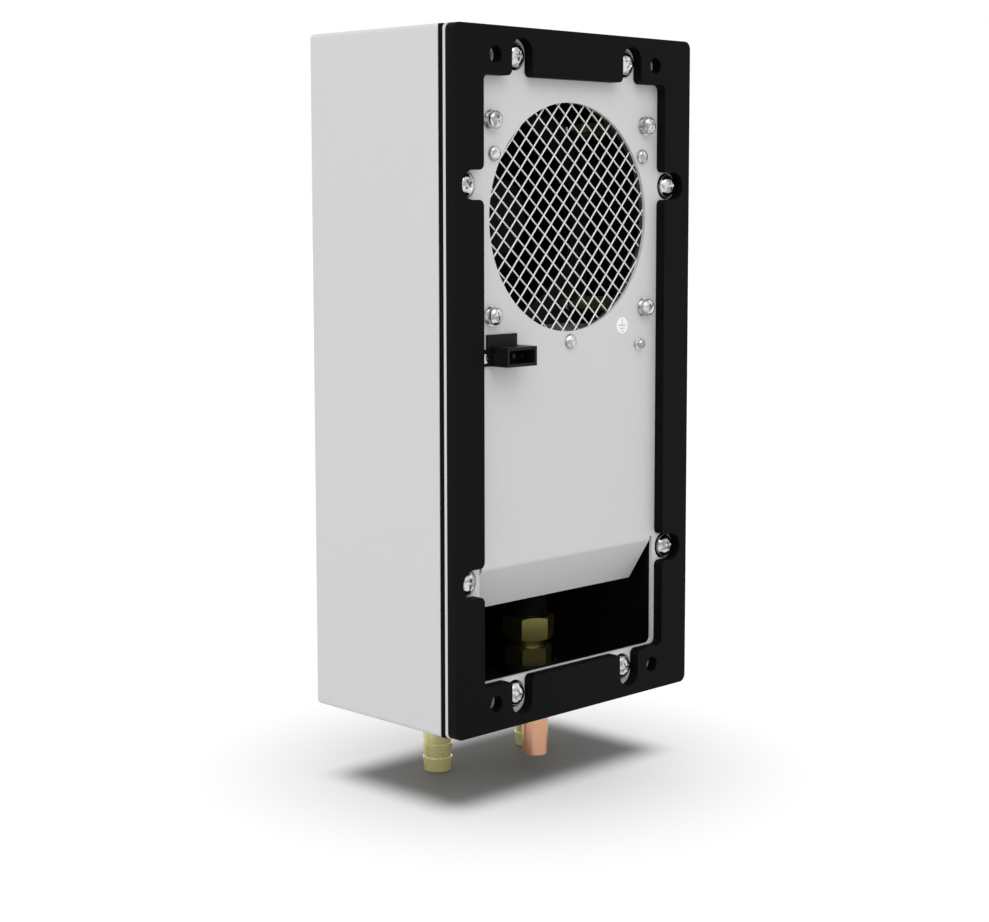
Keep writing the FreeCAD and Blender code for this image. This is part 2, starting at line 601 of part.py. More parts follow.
def make_rear_plate():
    """The rear plate: one sheet with round inlet, pressed dimples and a bent air deflector."""
    blank = new_body("rear_plate_blank")
    outline = new_sketch(blank, "plate_outline", "XZ_Plane", "Size.plate_rear")
    rectangle(outline, "0", "0", "Size.housing_width", "Size.housing_height")
    sheet_metal = pad(blank, outline, "plate_sheet", "Size.plate_thick")
    round_edges(blank, sheet_metal, "plate_corners", "Size.plate_corner",
                lambda edge: along(edge, Vector(0, 1, 0)))
    inlet = new_sketch(blank, "plate_inlet", "XZ_Plane", "Size.plate_rear")
    circle(inlet, "0", "Size.fan_height", "Size.air_inlet")
    pocket(blank, inlet, "plate_inlet_cut", "Size.plate_thick")
    outlet = new_sketch(blank, "plate_outlet", "XZ_Plane", "Size.plate_rear")
    root = "Size.outlet_top - Size.deflector_relief"
    rectangle(outlet, "0", f"-(Size.outlet_bottom + {root}) / 2",
              "2 * Size.outlet_half_width", f"Size.outlet_bottom - ({root})")
    opened = pocket(blank, outlet, "plate_outlet_cut", "Size.plate_thick")
    low = -num("Size.outlet_bottom")
    side = num("Size.outlet_half_width")

    def low_corner(edge):
        spot = edge.CenterOfMass
        beside = abs(abs(spot.x) - side) < 1e-6
        return along(edge, Vector(0, 1, 0)) and beside and abs(spot.z - low) < 1e-6

    round_edges(blank, opened, "plate_outlet_corners", "Size.outlet_corner", low_corner)
    wing = new_sketch(blank, "plate_deflector", "YZ_Plane",
                      "-(Size.outlet_half_width - Size.deflector_relief)")
    slope = "Size.deflector_angle * 1 deg"
    tip_y = f"-Size.plate_rear - Size.deflector_length * sin({slope})"
    tip_z = f"-Size.outlet_top - Size.deflector_length * cos({slope})"
    polygon(wing, [
        ("-Size.plate_rear", f"-({root})"),
        ("-Size.plate_rear", "-Size.outlet_top"),
        (tip_y, tip_z),
        (f"{tip_y} - Size.plate_thick * cos({slope})",
         f"{tip_z} + Size.plate_thick * sin({slope})"),
        ("-Size.plate_front", f"-Size.outlet_top + Size.plate_thick * tan({slope} / 2)"),
        ("-Size.plate_front", f"-({root})")])
    bent = pad(blank, wing, "plate_wing",
               "2 * (Size.outlet_half_width - Size.deflector_relief)")
    fold_z = -num("Size.outlet_top")

    def fold(edge):
        spot = edge.CenterOfMass
        near = abs(spot.z - fold_z) < 1e-6 and abs(spot.y + num("Size.plate_rear")) < 1e-6
        return along(edge, Vector(1, 0, 0)) and near and edge.Length > side

    round_edges(blank, bent, "plate_fold", "Size.deflector_fold", fold)
    plug = new_sketch(blank, "plate_plug", "XZ_Plane", "Size.plate_rear")
    rectangle(plug, "Size.plug_x", "Size.plug_z",
              "Size.plug_width - 2 * Size.plug_wall + 2 * Size.fit_gap",
              "Size.plug_high - 2 * Size.plug_wall + 2 * Size.fit_gap")
    pocket(blank, plug, "plate_plug_cut", "Size.plate_thick")
    small = new_sketch(blank, "plate_small_holes", "XZ_Plane", "Size.plate_rear")
    for across, depth, height in four_places("Size.fan_screw_x", "Size.fan_screw_z", "0",
                                             "Size.fan_height"):
        circle(small, across, height, "Size.standoff_thread + 2 * Size.fit_gap")
    for across, depth, height in rivet_places("0"):
        circle(small, across, height, "Size.rivet_shank + 2 * Size.fit_gap")
    for across, depth, height in plug_screw_places("0"):
        circle(small, across, height, "Size.plug_screw + 2 * Size.fit_gap")
    for across, depth, height in four_places("Size.mount_hole_x", "Size.mount_hole_z", "0"):
        circle(small, across, height, "Size.mount_insert_body + 2 * Size.fit_gap")
    pierced = pocket(blank, small, "plate_hole_cuts", "Size.plate_thick")

    def mount_rim(edge):
        spot = edge.CenterOfMass
        beside = abs(abs(spot.x) - num("Size.mount_hole_x")) < 1e-6
        above = abs(abs(spot.z) - num("Size.mount_hole_z")) < 1e-6
        return beside and above and abs(spot.y + num("Size.plate_rear")) < 1e-6

    doc.recompute()
    sunk = blank.newObject("PartDesign::Chamfer", "plate_mount_sinks")
    sunk.Base = (pierced, [f"Edge{index}" for index, edge in enumerate(pierced.Shape.Edges, 1)
                           if mount_rim(edge)])
    bind(sunk, Size="Size.mount_insert_rim")

    wide = "Size.dimple_mouth / 2 + Size.dimple_mouth_wall"
    narrow = "Size.dimple_floor / 2 + Size.dimple_floor_wall"
    under = "-(Size.dimple_deep + Size.plate_thick)"
    boss = turned_piece("dimple_boss", [("0", "0"), (wide, "0"), (narrow, under), ("0", under)])
    drilled = "Size.cover_screw_thread / 2 + 2 * Size.fit_gap"
    bowl = turned_piece("dimple_bowl", [
        ("0", "0"), ("Size.dimple_mouth / 2", "0"), ("Size.dimple_floor / 2", "-Size.dimple_deep"),
        (drilled, "-Size.dimple_deep"), (drilled, f"2 * {under}"), ("0", f"2 * {under}")])
    pressed = doc.addObject("Part::Fuse", "rear_plate_pressed")
    pressed.Base = blank
    pressed.Tool = group("dimple_bosses", boss, cover_screw_places("Size.plate_rear"))
    plate = doc.addObject("Part::Cut", "rear_plate")
    plate.Label = "rear_plate"
    plate.Base = pressed
    plate.Tool = group("dimple_bowls", bowl, cover_screw_places("Size.plate_rear"))
    kept.append(plate)


def make_gasket():
    """The foam gasket, slotted round the cover screws and pierced for the mounting screws."""
    gasket = new_body("mounting_gasket")
    outline = new_sketch(gasket, "gasket_outline", "XZ_Plane")
    rectangle(outline, "0", "0", "Size.housing_width", "Size.housing_height")
    foam = pad(gasket, outline, "gasket_foam", "Size.gasket_thick")
    round_edges(gasket, foam, "gasket_corners", "Size.gasket_corner",
                lambda edge: along(edge, Vector(0, 1, 0)))
    opening = new_sketch(gasket, "gasket_opening", "XZ_Plane")
    rectangle(opening, "0", "0", "Size.gasket_open_width", "Size.gasket_open_height")
    opened = pocket(gasket, opening, "gasket_window", "Size.gasket_thick")
    half_wide = num("Size.gasket_open_width / 2")
    half_high = num("Size.gasket_open_height / 2")

    def inner_corner(edge):
        spot = edge.CenterOfMass
        beside = abs(abs(spot.x) - half_wide) < 1e-6 and abs(abs(spot.z) - half_high) < 1e-6
        return along(edge, Vector(0, 1, 0)) and beside

    round_edges(gasket, opened, "gasket_inner_corners", "Size.gasket_open_corner",
                inner_corner)
    slots = new_sketch(gasket, "gasket_slots", "XZ_Plane")
    for i in (1, -1):
        for j in (1, -1):
            slot(slots, (f"({i}) * (Size.gasket_open_width - Size.slot_width) / 2",
                         f"({j}) * Size.screw_side_z"),
                 (f"({i}) * (Size.slot_side_end - Size.slot_width / 2)",
                  f"({j}) * Size.screw_side_z"), "Size.slot_width")
            slot(slots, (f"({i}) * Size.screw_end_x",
                         f"({j}) * (Size.gasket_open_height - Size.slot_width) / 2"),
                 (f"({i}) * Size.screw_end_x",
                  f"({j}) * (Size.slot_upright_end - Size.slot_width / 2)"), "Size.slot_width")
    cut = pocket(gasket, slots, "gasket_slot_cuts", "Size.gasket_thick")
    inset = num("Size.slot_width / 2")

    def mouth(edge):
        spot = edge.CenterOfMass
        beside = abs(abs(spot.x) - half_wide) < 1e-6 and abs(spot.z) < half_high - inset
        above = abs(abs(spot.z) - half_high) < 1e-6 and abs(spot.x) < half_wide - inset
        return along(edge, Vector(0, 1, 0)) and (beside or above)

    round_edges(gasket, cut, "gasket_slot_mouths", "Size.slot_mouth_radius", mouth)
    holes = new_sketch(gasket, "gasket_holes", "XZ_Plane")
    for across, depth, height in four_places("Size.mount_hole_x", "Size.mount_hole_z", "0"):
        circle(holes, across, height, "Size.mount_hole_gasket")
    pocket(gasket, holes, "gasket_hole_cuts", "Size.gasket_thick")
    kept.append(gasket)


def rivet_places(depth):
    """Three guard rivets, a third of a turn apart, one of them at the bottom."""
    return [(f"Size.rivet_circle * cos({turn} deg)", f"-({depth})",
             f"Size.fan_height + Size.rivet_circle * sin({turn} deg)") for turn in RIVET_TURNS]


def plug_screw_places(depth):
    """The two fixing screws of the plug."""
    return [(f"Size.plug_x + ({side}) * Size.plug_screw_pitch / 2", f"-({depth})",
             "Size.plug_z - Size.plug_screw_low") for side in (1, -1)]


def screw(label, head, head_high, shank, long, places, facing=1):
    """Pan-head screws in one group, seated with the head's underside at each place."""
    outline = [("0", f"-({long})"), (f"({shank}) / 2", f"-({long})"), (f"({shank}) / 2", "0")]
    outline += [(f"({head}) * {across}", f"({head_high}) * {up}") for across, up in PAN_HEAD]
    one = turned_piece(f"{label}_one",
                       [(radius, f"({facing}) * ({level})") for radius, level in outline])
    kept.append(group(label, one, places))


def washer(label, outer, inner, thick, places):
    """Flat rings in one group, the face towards the cabinet at each place."""
    one = turned_piece(f"{label}_one", [
        (f"({inner}) / 2", f"-({thick})"), (f"({outer}) / 2", f"-({thick})"),
        (f"({outer}) / 2", "0"), (f"({inner}) / 2", "0")])
    kept.append(group(label, one, places))


def insert(label, rim, rim_thick, barrel, thread, long, places):
    """Blind rivet nuts in one group, the underside of the rim at each place."""
    one = turned_piece(f"{label}_one", [
        (f"({thread}) / 2", f"-({long})"), (f"({barrel}) / 2", f"-({long})"),
        (f"({barrel}) / 2", "0"), (f"({rim}) / 2", "0"),
        (f"({rim}) / 2", f"{rim_thick}"), (f"({thread}) / 2", f"{rim_thick}")])
    kept.append(group(label, one, places))


def make_fasteners():
    """Screws, washers, rivet nuts and rivets that join plate, cover, guard and fan."""
    seat = "Size.plate_rear + Size.dimple_deep"
    washer("cover_screw_seals", "Size.dimple_floor - 2 * Size.fit_gap",
           "Size.cover_screw_thread + 2 * Size.fit_gap",
           "Size.screw_seal_thick", cover_screw_places(f"{seat} - Size.screw_seal_thick"))
    screw("cover_screws", "Size.cover_screw_head", "Size.cover_screw_head_high",
          "Size.cover_screw_thread", "Size.cover_screw_long",
          cover_screw_places(f"{seat} - Size.screw_seal_thick"))
    insert("cover_rivet_nuts", "Size.cover_nut_rim", "Size.cover_nut_rim_thick",
           "Size.cover_nut_body", "Size.cover_screw_thread + Size.fit_gap",
           "Size.cover_nut_long",
           cover_screw_places("Size.cover_rear"))
    one = turned_piece("mounting_inserts_one", [
        ("Size.mount_thread / 2", "-Size.mount_insert_long"),
        ("Size.mount_insert_body / 2", "-Size.mount_insert_long"),
        ("Size.mount_insert_body / 2", "-Size.mount_insert_rim"),
        ("Size.mount_insert_body / 2 + Size.mount_insert_rim", "0"),
        ("Size.mount_thread / 2", "0")])
    kept.append(group("mounting_inserts", one, four_places(
        "Size.mount_hole_x", "Size.mount_hole_z", "Size.plate_rear")))
    washer("fan_screw_washers", "Size.fan_washer", "Size.standoff_thread + 2 * Size.fit_gap",
           "Size.fan_washer_thick",
           four_places("Size.fan_screw_x", "Size.fan_screw_z",
                       "Size.plate_rear - Size.fan_washer_thick", "Size.fan_height"))
    screw("fan_carrier_screws", "Size.fan_screw_head", "Size.fan_screw_head_high",
          "Size.standoff_thread", "Size.fan_screw_long",
          four_places("Size.fan_screw_x", "Size.fan_screw_z",
                      "Size.plate_rear - Size.fan_washer_thick", "Size.fan_height"))
    washer("carrier_washers", "Size.carrier_washer",
           "Size.standoff_front_thread + 2 * Size.fit_gap",
           "Size.carrier_washer_thick",
           four_places("Size.fan_screw_x", "Size.fan_screw_z",
                       "Size.plate_front + Size.standoff_long", "Size.fan_height"))
    gripped = "-Size.guard_ring_sheet - Size.plate_thick"
    outline = [
        ("0", f"{gripped} - Size.rivet_tail_long"),
        ("Size.rivet_tail / 2 - Size.rivet_tail_bevel", f"{gripped} - Size.rivet_tail_long"),
        ("Size.rivet_tail / 2",
         f"{gripped} - Size.rivet_tail_long + Size.rivet_tail_bevel"),
        ("Size.rivet_tail / 2", gripped), ("Size.rivet_shank / 2", gripped),
        ("Size.rivet_shank / 2", "0")]
    outline += [(f"Size.rivet_head * {across}", f"Size.rivet_head_high * {up}")
                for across, up in ROUND_HEAD]
    rivet = turned_piece("guard_rivets_one", outline)
    kept.append(group("guard_rivets", rivet, rivet_places("Size.plate_rear")))


def make_guard():
    """Welded wire mesh behind the air inlet and the ring that holds it to the plate."""
    wires = []
    for family, (slope, shift) in enumerate((("Size.mesh_angle", "0"),
                                             ("Size.mesh_angle + 90", "-Size.mesh_offset"))):
        reach = int(num("Size.mesh_radius / Size.mesh_pitch")) + 1
        for step in range(-reach, reach + 1):
            off = f"({shift} + ({step}) * Size.mesh_pitch)"
            if abs(num(off)) + num("Size.wire / 2") >= num("Size.mesh_radius"):
                continue
            half = f"sqrt(Size.mesh_radius ^ 2 - (abs({off}) + Size.wire / 2) ^ 2)"
            wire = doc.addObject("Part::Cylinder", "guard_wire")
            upright = Rotation(Vector(0, 1, 0), -num(slope))
            wire.Placement = Placement(Vector(0, 0, 0), upright)
            bind(wire, Radius="Size.wire / 2", Height=f"2 * {half}")
            wire.setExpression(".Placement.Rotation.Angle", f"-({slope})")
            place(wire, f"{off} * cos({slope}) + {half} * sin({slope})",
                  f"-(Size.plate_front + Size.wire * {family + 0.5}"
                  f" + Size.mesh_layer_gap * {family})",
                  f"Size.fan_height + {off} * sin({slope}) - {half} * cos({slope})")
            wires.append(wire)
    mesh = doc.addObject("Part::Compound", "guard_mesh")
    mesh.Label = "guard_mesh"
    mesh.Links = wires
    kept.append(mesh)

    wall = "Size.mesh_radius + Size.mesh_ring_gap"
    under = "-(Size.plate_front + 2 * Size.wire + Size.fit_gap)"
    outer = "Size.guard_ring_outer"
    ring = turned_piece("guard_ring", [
        (wall, "-Size.plate_front"), (outer, "-Size.plate_front"),
        (outer, "-Size.plate_front - Size.guard_ring_sheet"),
        (f"{wall} + Size.guard_ring_sheet", "-Size.plate_front - Size.guard_ring_sheet"),
        (f"{wall} + Size.guard_ring_sheet", f"{under} - Size.guard_ring_sheet"),
        (f"{wall} - Size.guard_ring_lip", f"{under} - Size.guard_ring_sheet"),
        (f"{wall} - Size.guard_ring_lip", under),
        (wall, under)])
    place(ring, "0", "0", "Size.fan_height")
    holes = new_sketch(ring, "guard_ring_holes", "XZ_Plane", "Size.plate_front")
    for turn in RIVET_TURNS:
        circle(holes, f"Size.rivet_circle * cos({turn} deg)", f"Size.rivet_circle * sin({turn} deg)",
               "Size.rivet_shank + 2 * Size.fit_gap")
    pocket(ring, holes, "guard_ring_cuts", "Size.guard_ring_sheet")
    kept.append(ring)


def make_fan_carrier():
    """Brass spacers, the sheet they carry, its fasteners and the shelf under the inlet."""
    spacer = new_body("fan_standoffs_one")
    section = new_sketch(spacer, "standoff_section", "XZ_Plane")
    hexagon(section, "0", "0", "Size.standoff_flats")
    pad(spacer, section, "standoff_bar", "Size.standoff_long")
    rear = new_sketch(spacer, "standoff_rear", "XZ_Plane")
    circle(rear, "0", "0", "Size.standoff_thread + Size.fit_gap")
    pocket(spacer, rear, "standoff_rear_thread", "Size.fan_screw_long")
    front = new_sketch(spacer, "standoff_front", "XZ_Plane",
                       "Size.standoff_long - Size.carrier_screw_long")
    circle(front, "0", "0", "Size.standoff_front_thread + Size.fit_gap")
    pocket(spacer, front, "standoff_front_cut", "Size.carrier_screw_long")
    kept.append(group("fan_standoffs", spacer,
                      four_places("Size.fan_screw_x", "Size.fan_screw_z", "Size.plate_front",
                                  "Size.fan_height")))

    carrier = new_body("fan_carrier")
    outline = new_sketch(carrier, "carrier_outline", "XZ_Plane", "Size.carrier_rear")
    top = "Size.fan_height + Size.fan_screw_z + Size.carrier_margin"
    rectangle(outline, "0", f"({top} + Size.carrier_low) / 2",
              "2 * (Size.fan_screw_x + Size.carrier_margin)", f"{top} - Size.carrier_low")
    circle(outline, "0", "Size.fan_height", "Size.fan_duct")
    blank = pad(carrier, outline, "carrier_sheet", "Size.carrier_sheet")
    wide = num("Size.fan_screw_x")

    def corner(edge):
        return along(edge, Vector(0, 1, 0)) and abs(edge.CenterOfMass.x) > wide

    round_edges(carrier, blank, "carrier_corners", "Size.carrier_corner", corner)
    holes = new_sketch(carrier, "carrier_holes", "XZ_Plane", "Size.carrier_rear")
    for across, depth, height in four_places("Size.fan_screw_x", "Size.fan_screw_z", "0",
                                             "Size.fan_height"):
        circle(holes, across, height, "Size.standoff_front_thread + 2 * Size.fit_gap")
    for across, depth, height in four_places("Size.fan_bolt_pitch / 2", "Size.fan_bolt_pitch / 2",
                                             "0", "Size.fan_height"):
        circle(holes, across, height, "Size.fan_bolt_hole")
    pocket(carrier, holes, "carrier_cuts", "Size.carrier_sheet")
    kept.append(carrier)

    screw("carrier_screws", "Size.carrier_screw_head", "Size.carrier_screw_head_high",
          "Size.standoff_front_thread",
          "Size.carrier_screw_long + Size.carrier_sheet",
          four_places("Size.fan_screw_x", "Size.fan_screw_z", "Size.fan_rear", "Size.fan_height"),
          facing=-1)
    bolts = ("Size.fan_bolt_pitch / 2", "Size.fan_bolt_pitch / 2")
    screw("fan_bolts", "Size.fan_bolt_head", "Size.fan_bolt_head_high", "Size.fan_bolt",
          "Size.fan_bolt_long", four_places(*bolts, "Size.carrier_rear", "Size.fan_height"))
    nut = new_body("fan_nuts_one")
    section = new_sketch(nut, "fan_nut_section", "XZ_Plane")
    hexagon(section, "0", "0", "Size.fan_nut_flats")
    circle(section, "0", "0", "Size.fan_bolt + Size.fit_gap")
    pad(nut, section, "fan_nut_bar", "Size.fan_nut_high")
    kept.append(group("fan_nuts", nut, four_places(*bolts, "Size.fan_rear + Size.fan_flange",
                                                   "Size.fan_height")))

    shelf = new_body("intake_shelf")
    bend = new_sketch(shelf, "shelf_section", "YZ_Plane", "-Size.shelf_half")
    polygon(bend, [
        ("-Size.shelf_back", "Size.shelf_top"),
        ("-Size.carrier_rear", "Size.shelf_top"),
        ("-Size.carrier_rear", "Size.shelf_top - Size.shelf_foot"),
        ("-Size.carrier_rear + Size.shelf_sheet", "Size.shelf_top - Size.shelf_foot"),
        ("-Size.carrier_rear + Size.shelf_sheet", "Size.shelf_top - Size.shelf_sheet"),
        ("-Size.shelf_back", "Size.shelf_top - Size.shelf_sheet")])
    pad(shelf, bend, "shelf_fold", "2 * Size.shelf_half")
    kept.append(shelf)


def make_fan():
    """The axial fan: frame with motor seat, rotor with twisted blades, shaft and bearings."""
    frame = new_body("fan_frame")
    outline = new_sketch(frame, "frame_outline", "XZ_Plane", "Size.fan_rear")
    rectangle(outline, "0", "0", "Size.fan_side", "Size.fan_side")
    block = pad(frame, outline, "frame_block", "Size.fan_deep")
    round_edges(frame, block, "frame_corners", "Size.fan_flange",
                lambda edge: along(edge, Vector(0, 1, 0)))
    bore = new_sketch(frame, "frame_bore", "XZ_Plane", "Size.fan_rear")
    circle(bore, "0", "0", "Size.fan_duct")
    pocket(frame, bore, "frame_duct", "Size.fan_deep")
    waist = new_sketch(frame, "frame_waist", "XZ_Plane", "Size.fan_rear + Size.fan_flange")
    rectangle(waist, "0", "0", "Size.fan_side + Size.fan_wall", "Size.fan_side + Size.fan_wall")
    circle(waist, "0", "0", "Size.fan_duct + 2 * Size.fan_wall")
    pocket(frame, waist, "frame_waist_cut", "Size.fan_deep - 2 * Size.fan_flange")
    bolts = new_sketch(frame, "frame_bolt_holes", "XZ_Plane", "Size.fan_rear")
    for across, depth, height in four_places("Size.fan_bolt_pitch / 2", "Size.fan_bolt_pitch / 2",
                                             "0"):
        circle(bolts, across, height, "Size.fan_bolt_hole")
    pocket(frame, bolts, "frame_bolt_cuts", "Size.fan_deep")
    half = "(Size.fan_duct / 2 + Size.fan_wall / 2)"
    for turn in (45, 135):
        bar = new_sketch(frame, f"frame_strut_{turn}", "XZ_Plane", "Size.fan_front - Size.strut_deep")
        reach = (f"{half} * cos({turn} deg)", f"{half} * sin({turn} deg)")
        side = (f"Size.strut_wide / 2 * sin({turn} deg)", f"Size.strut_wide / 2 * cos({turn} deg)")
        polygon(bar, [(f"({i}) * {reach[0]} + ({j}) * {side[0]}",
                       f"({i}) * {reach[1]} - ({j}) * {side[1]}")
                      for i, j in ((1, 1), (1, -1), (-1, -1), (-1, 1))])
        pad(frame, bar, f"frame_strut_bar_{turn}", "Size.strut_deep")
    seat = new_sketch(frame, "frame_seat", "XZ_Plane", "Size.fan_front - Size.strut_deep")
    circle(seat, "0", "0", "Size.motor_seat")
    pad(frame, seat, "frame_motor_seat", "Size.strut_deep")
    sleeve = new_sketch(frame, "frame_sleeve", "XZ_Plane",
                        "Size.fan_front - Size.strut_deep - Size.bearing_tube_long")
    circle(sleeve, "0", "0", "Size.bearing_outer + 2 * Size.bearing_tube_wall")
    circle(sleeve, "0", "0", "Size.bearing_outer + Size.fit_gap")
    pad(frame, sleeve, "frame_bearing_tube", "Size.bearing_tube_long")
    place(frame, "0", "0", "Size.fan_height")
    kept.append(frame)

    tube_rear = "(Size.fan_front - Size.strut_deep - Size.bearing_tube_long)"
    bearing = turned_piece("fan_bearings_one", [
        ("Size.fan_shaft / 2 + Size.bearing_fit", "0"), ("Size.bearing_outer / 2", "0"),
        ("Size.bearing_outer / 2", "-Size.bearing_long"),
        ("Size.fan_shaft / 2 + Size.bearing_fit", "-Size.bearing_long")])
    kept.append(group("fan_bearings", bearing, [
        ("0", f"-{tube_rear}", "Size.fan_height"),
        ("0", "-(Size.fan_front - Size.strut_deep - Size.bearing_long)", "Size.fan_height")]))
    inner = "Size.bearing_outer / 2 + Size.bearing_tube_wall + Size.fit_gap / 2"
    low = "-(Size.fan_front - Size.strut_deep - Size.stator_long)"
    stator = turned_piece("fan_stator", [
        (inner, low), ("Size.stator_outer / 2", low),
        ("Size.stator_outer / 2", f"{low} - Size.stator_long"),
        (inner, f"{low} - Size.stator_long")])
    place(stator, "0", "0", "Size.fan_height")
    kept.append(stator)

    rotor = new_body("fan_rotor")
    open_end = "-(Size.fan_front - Size.strut_deep - Size.rotor_gap)"
    capped = f"{open_end} + Size.hub_deep"
    hub = new_sketch(rotor, "hub_profile", "XY_Plane")
    polygon(hub, [
        ("Size.fan_shaft / 2 + Size.fit_gap / 2", f"{capped}"),
        ("Size.hub_outer / 2 - Size.hub_wall", f"{capped}"),
        ("Size.hub_outer / 2", f"{capped} - Size.hub_wall"),
        ("Size.hub_outer / 2", open_end),
        ("Size.hub_outer / 2 - Size.hub_wall", open_end),
        ("Size.hub_outer / 2 - Size.hub_wall", f"{capped} - Size.hub_wall"),
        ("Size.fan_shaft / 2 + Size.fit_gap / 2", f"{capped} - Size.hub_wall")])
    revolve(rotor, hub, "hub_turned")
    root = blade_section(rotor, "blade_root", "Size.hub_outer / 2 - Size.blade_root_sink",
                         "Size.blade_root_chord", "Size.blade_root_angle")
    tip = blade_section(rotor, "blade_end", "Size.blade_tip + Size.blade_allowance",
                        "Size.blade_tip_chord", "Size.blade_tip_angle")
    blade = rotor.newObject("PartDesign::AdditiveLoft", "blade")
    blade.Profile = root
    blade.Sections = [tip]
    blade.Ruled = True
    blades = rotor.newObject("PartDesign::PolarPattern", "blades")
    blades.Originals = [blade]
    turn_axis = [item for item in rotor.Origin.OriginFeatures if item.Role == "Y_Axis"][0]
    blades.Axis = (turn_axis, [""])
    blades.Angle = 360
    bind(blades, Occurrences="Size.blade_count")
    trim = new_sketch(rotor, "blade_trim", "XY_Plane")
    beyond = "Size.blade_tip + Size.blade_tip_chord / 2"
    polygon(trim, [("Size.blade_tip", "-Size.fan_rear"), (beyond, "-Size.fan_rear"),
                   (beyond, "-Size.fan_front"), ("Size.blade_tip", "-Size.fan_front")])
    turned_off = rotor.newObject("PartDesign::Groove", "blade_tips")
    turned_off.Profile = trim
    turned_off.ReferenceAxis = (trim, ["V_Axis"])
    turned_off.Angle = 360
    place(rotor, "0", "0", "Size.fan_height")
    kept.append(rotor)

    shaft = turned_piece("fan_shaft", [
        ("0", f"{capped} - Size.shaft_end_gap"),
        ("Size.fan_shaft / 2", f"{capped} - Size.shaft_end_gap"),
        ("Size.fan_shaft / 2", "-(Size.fan_front - Size.strut_deep - Size.shaft_end_gap)"),
        ("0", "-(Size.fan_front - Size.strut_deep - Size.shaft_end_gap)")])
    place(shaft, "0", "0", "Size.fan_height")
    kept.append(shaft)


def blade_section(owner, name, radius, chord, slope):
    """One bowed section of a fan blade, square to its length."""
    made = new_sketch(owner, name, "YZ_Plane", radius)
    middle = "(-(Size.fan_front - Size.strut_deep - Size.rotor_gap - Size.hub_deep / 2))"
    bow = "Size.blade_camber"
    half = "Size.blade_thick / 2"

    def spot(lengthwise, outward):
        lean = f"{slope} * 1 deg"
        return (f"{middle} + ({lengthwise}) * sin({lean}) + ({outward}) * cos({lean})",
                f"({lengthwise}) * cos({lean}) - ({outward}) * sin({lean})")

    def point(spot_of):
        return Vector(num(spot_of[0]), num(spot_of[1]), 0)

    upper = [spot(f"-{chord} / 2", half), spot("0", f"{bow} + {half}"), spot(f"{chord} / 2", half)]
    lower = [spot(f"{chord} / 2", f"-{half}"), spot("0", f"{bow} - {half}"),
             spot(f"-{chord} / 2", f"-{half}")]
    made.addGeometry(Part.Arc(*[point(item) for item in upper]), False)
    made.addGeometry(Part.LineSegment(point(upper[2]), point(lower[0])), False)
    made.addGeometry(Part.Arc(*[point(item) for item in reversed(lower)]), False)
    made.addGeometry(Part.LineSegment(point(lower[2]), point(upper[0])), False)
    for index, (begin, finish) in enumerate(((upper[0], upper[2]), (upper[2], lower[0]),
                                             (lower[0], lower[2]), (lower[2], upper[0]))):
        held = made.Geometry[index]
        first = 1 if (held.StartPoint - point(begin)).Length < 1e-6 else 2
        pin_point(made, index, first, *begin)
        pin_point(made, index, 3 - first, *finish)
        if index in (0, 2):
            curve = f"({chord} ^ 2 / 4 + {bow} ^ 2) / (2 * {bow})"
            kept_round = Sketcher.Constraint("Radius", index, num(curve))
            made.setExpression(f"Constraints[{made.addConstraint(kept_round)}]", curve)
    return made


def rounded_path(label, points, bend):
    """A wire through points, rounded at each inner point with the wanted radius."""
    spots = [Vector(*[num(formula) for formula in point]) for point in points]
    edges = []
    last = spots[0]
    for before, corner, after in zip(spots, spots[1:], spots[2:]):
        into = (corner - before).normalize()
        out = (after - corner).normalize()
        turn = into.getAngle(out)
        roomy = min((corner - before).Length, (after - corner).Length) / 2
        back = num(bend) * math.tan(turn / 2)
        if before is spots[0]:
            roomy = min((after - corner).Length / 2, (corner - before).Length)
        back = min(back, roomy)
        radius = back / math.tan(turn / 2)
        begin = corner - into * back
        finish = corner + out * back
        halfway = (out - into).normalize()
        middle = corner + halfway * (radius / math.cos(turn / 2) - radius)
        if (begin - last).Length > 1e-6:
            edges.append(Part.makeLine(last, begin))
        edges.append(Part.Arc(begin, middle, finish).toShape())
        last = finish
    if (spots[-1] - last).Length > 1e-6:
        edges.append(Part.makeLine(last, spots[-1]))
    path = doc.addObject("Part::Feature", label)
    path.Shape = Part.Wire(edges)
    return path


def swept(label, path, radius):
    """A round bar along a path."""
    start = path.Shape.Edges[0]
    at = start.valueAt(start.FirstParameter)
    ahead = start.tangentAt(start.FirstParameter)
    ring = doc.addObject("Part::Circle", f"{label}_ring")
    ring.Placement = Placement(at, Rotation(Vector(0, 0, 1), ahead))
    bind(ring, Radius=radius)
    made = doc.addObject("Part::Sweep", label)
    made.Sections = [ring]
    made.Spine = (path, [f"Edge{i + 1}" for i in range(len(path.Shape.Edges))])
    made.Solid = True
    return made


def tube(label, points, outer, inner, bend):
    """A bent tube from its middle line and its two diameters."""
    path = rounded_path(f"{label}_path", points, bend)
    made = doc.addObject("Part::Cut", label)
    made.Label = label
    made.Base = swept(f"{label}_outside", path, f"({outer}) / 2")
    made.Tool = swept(f"{label}_inside", path, f"({inner}) / 2")
    kept.append(made)


def coil_spots():
    """Height and depth of the five tube runs, in the order the water takes."""
    low = "-(Size.coil_top + Size.coil_high - Size.coil_low)"
    high = f"({low} + Size.coil_row)"
    first = "(-Size.coil_front + Size.coil_edge)"
    return [(first, low), (f"({first} + Size.coil_pitch / 2)", high),
            (f"({first} + 1.5 * Size.coil_pitch)", high),
            (f"({first} + Size.coil_pitch)", low), (f"({first} + 2 * Size.coil_pitch)", low)]


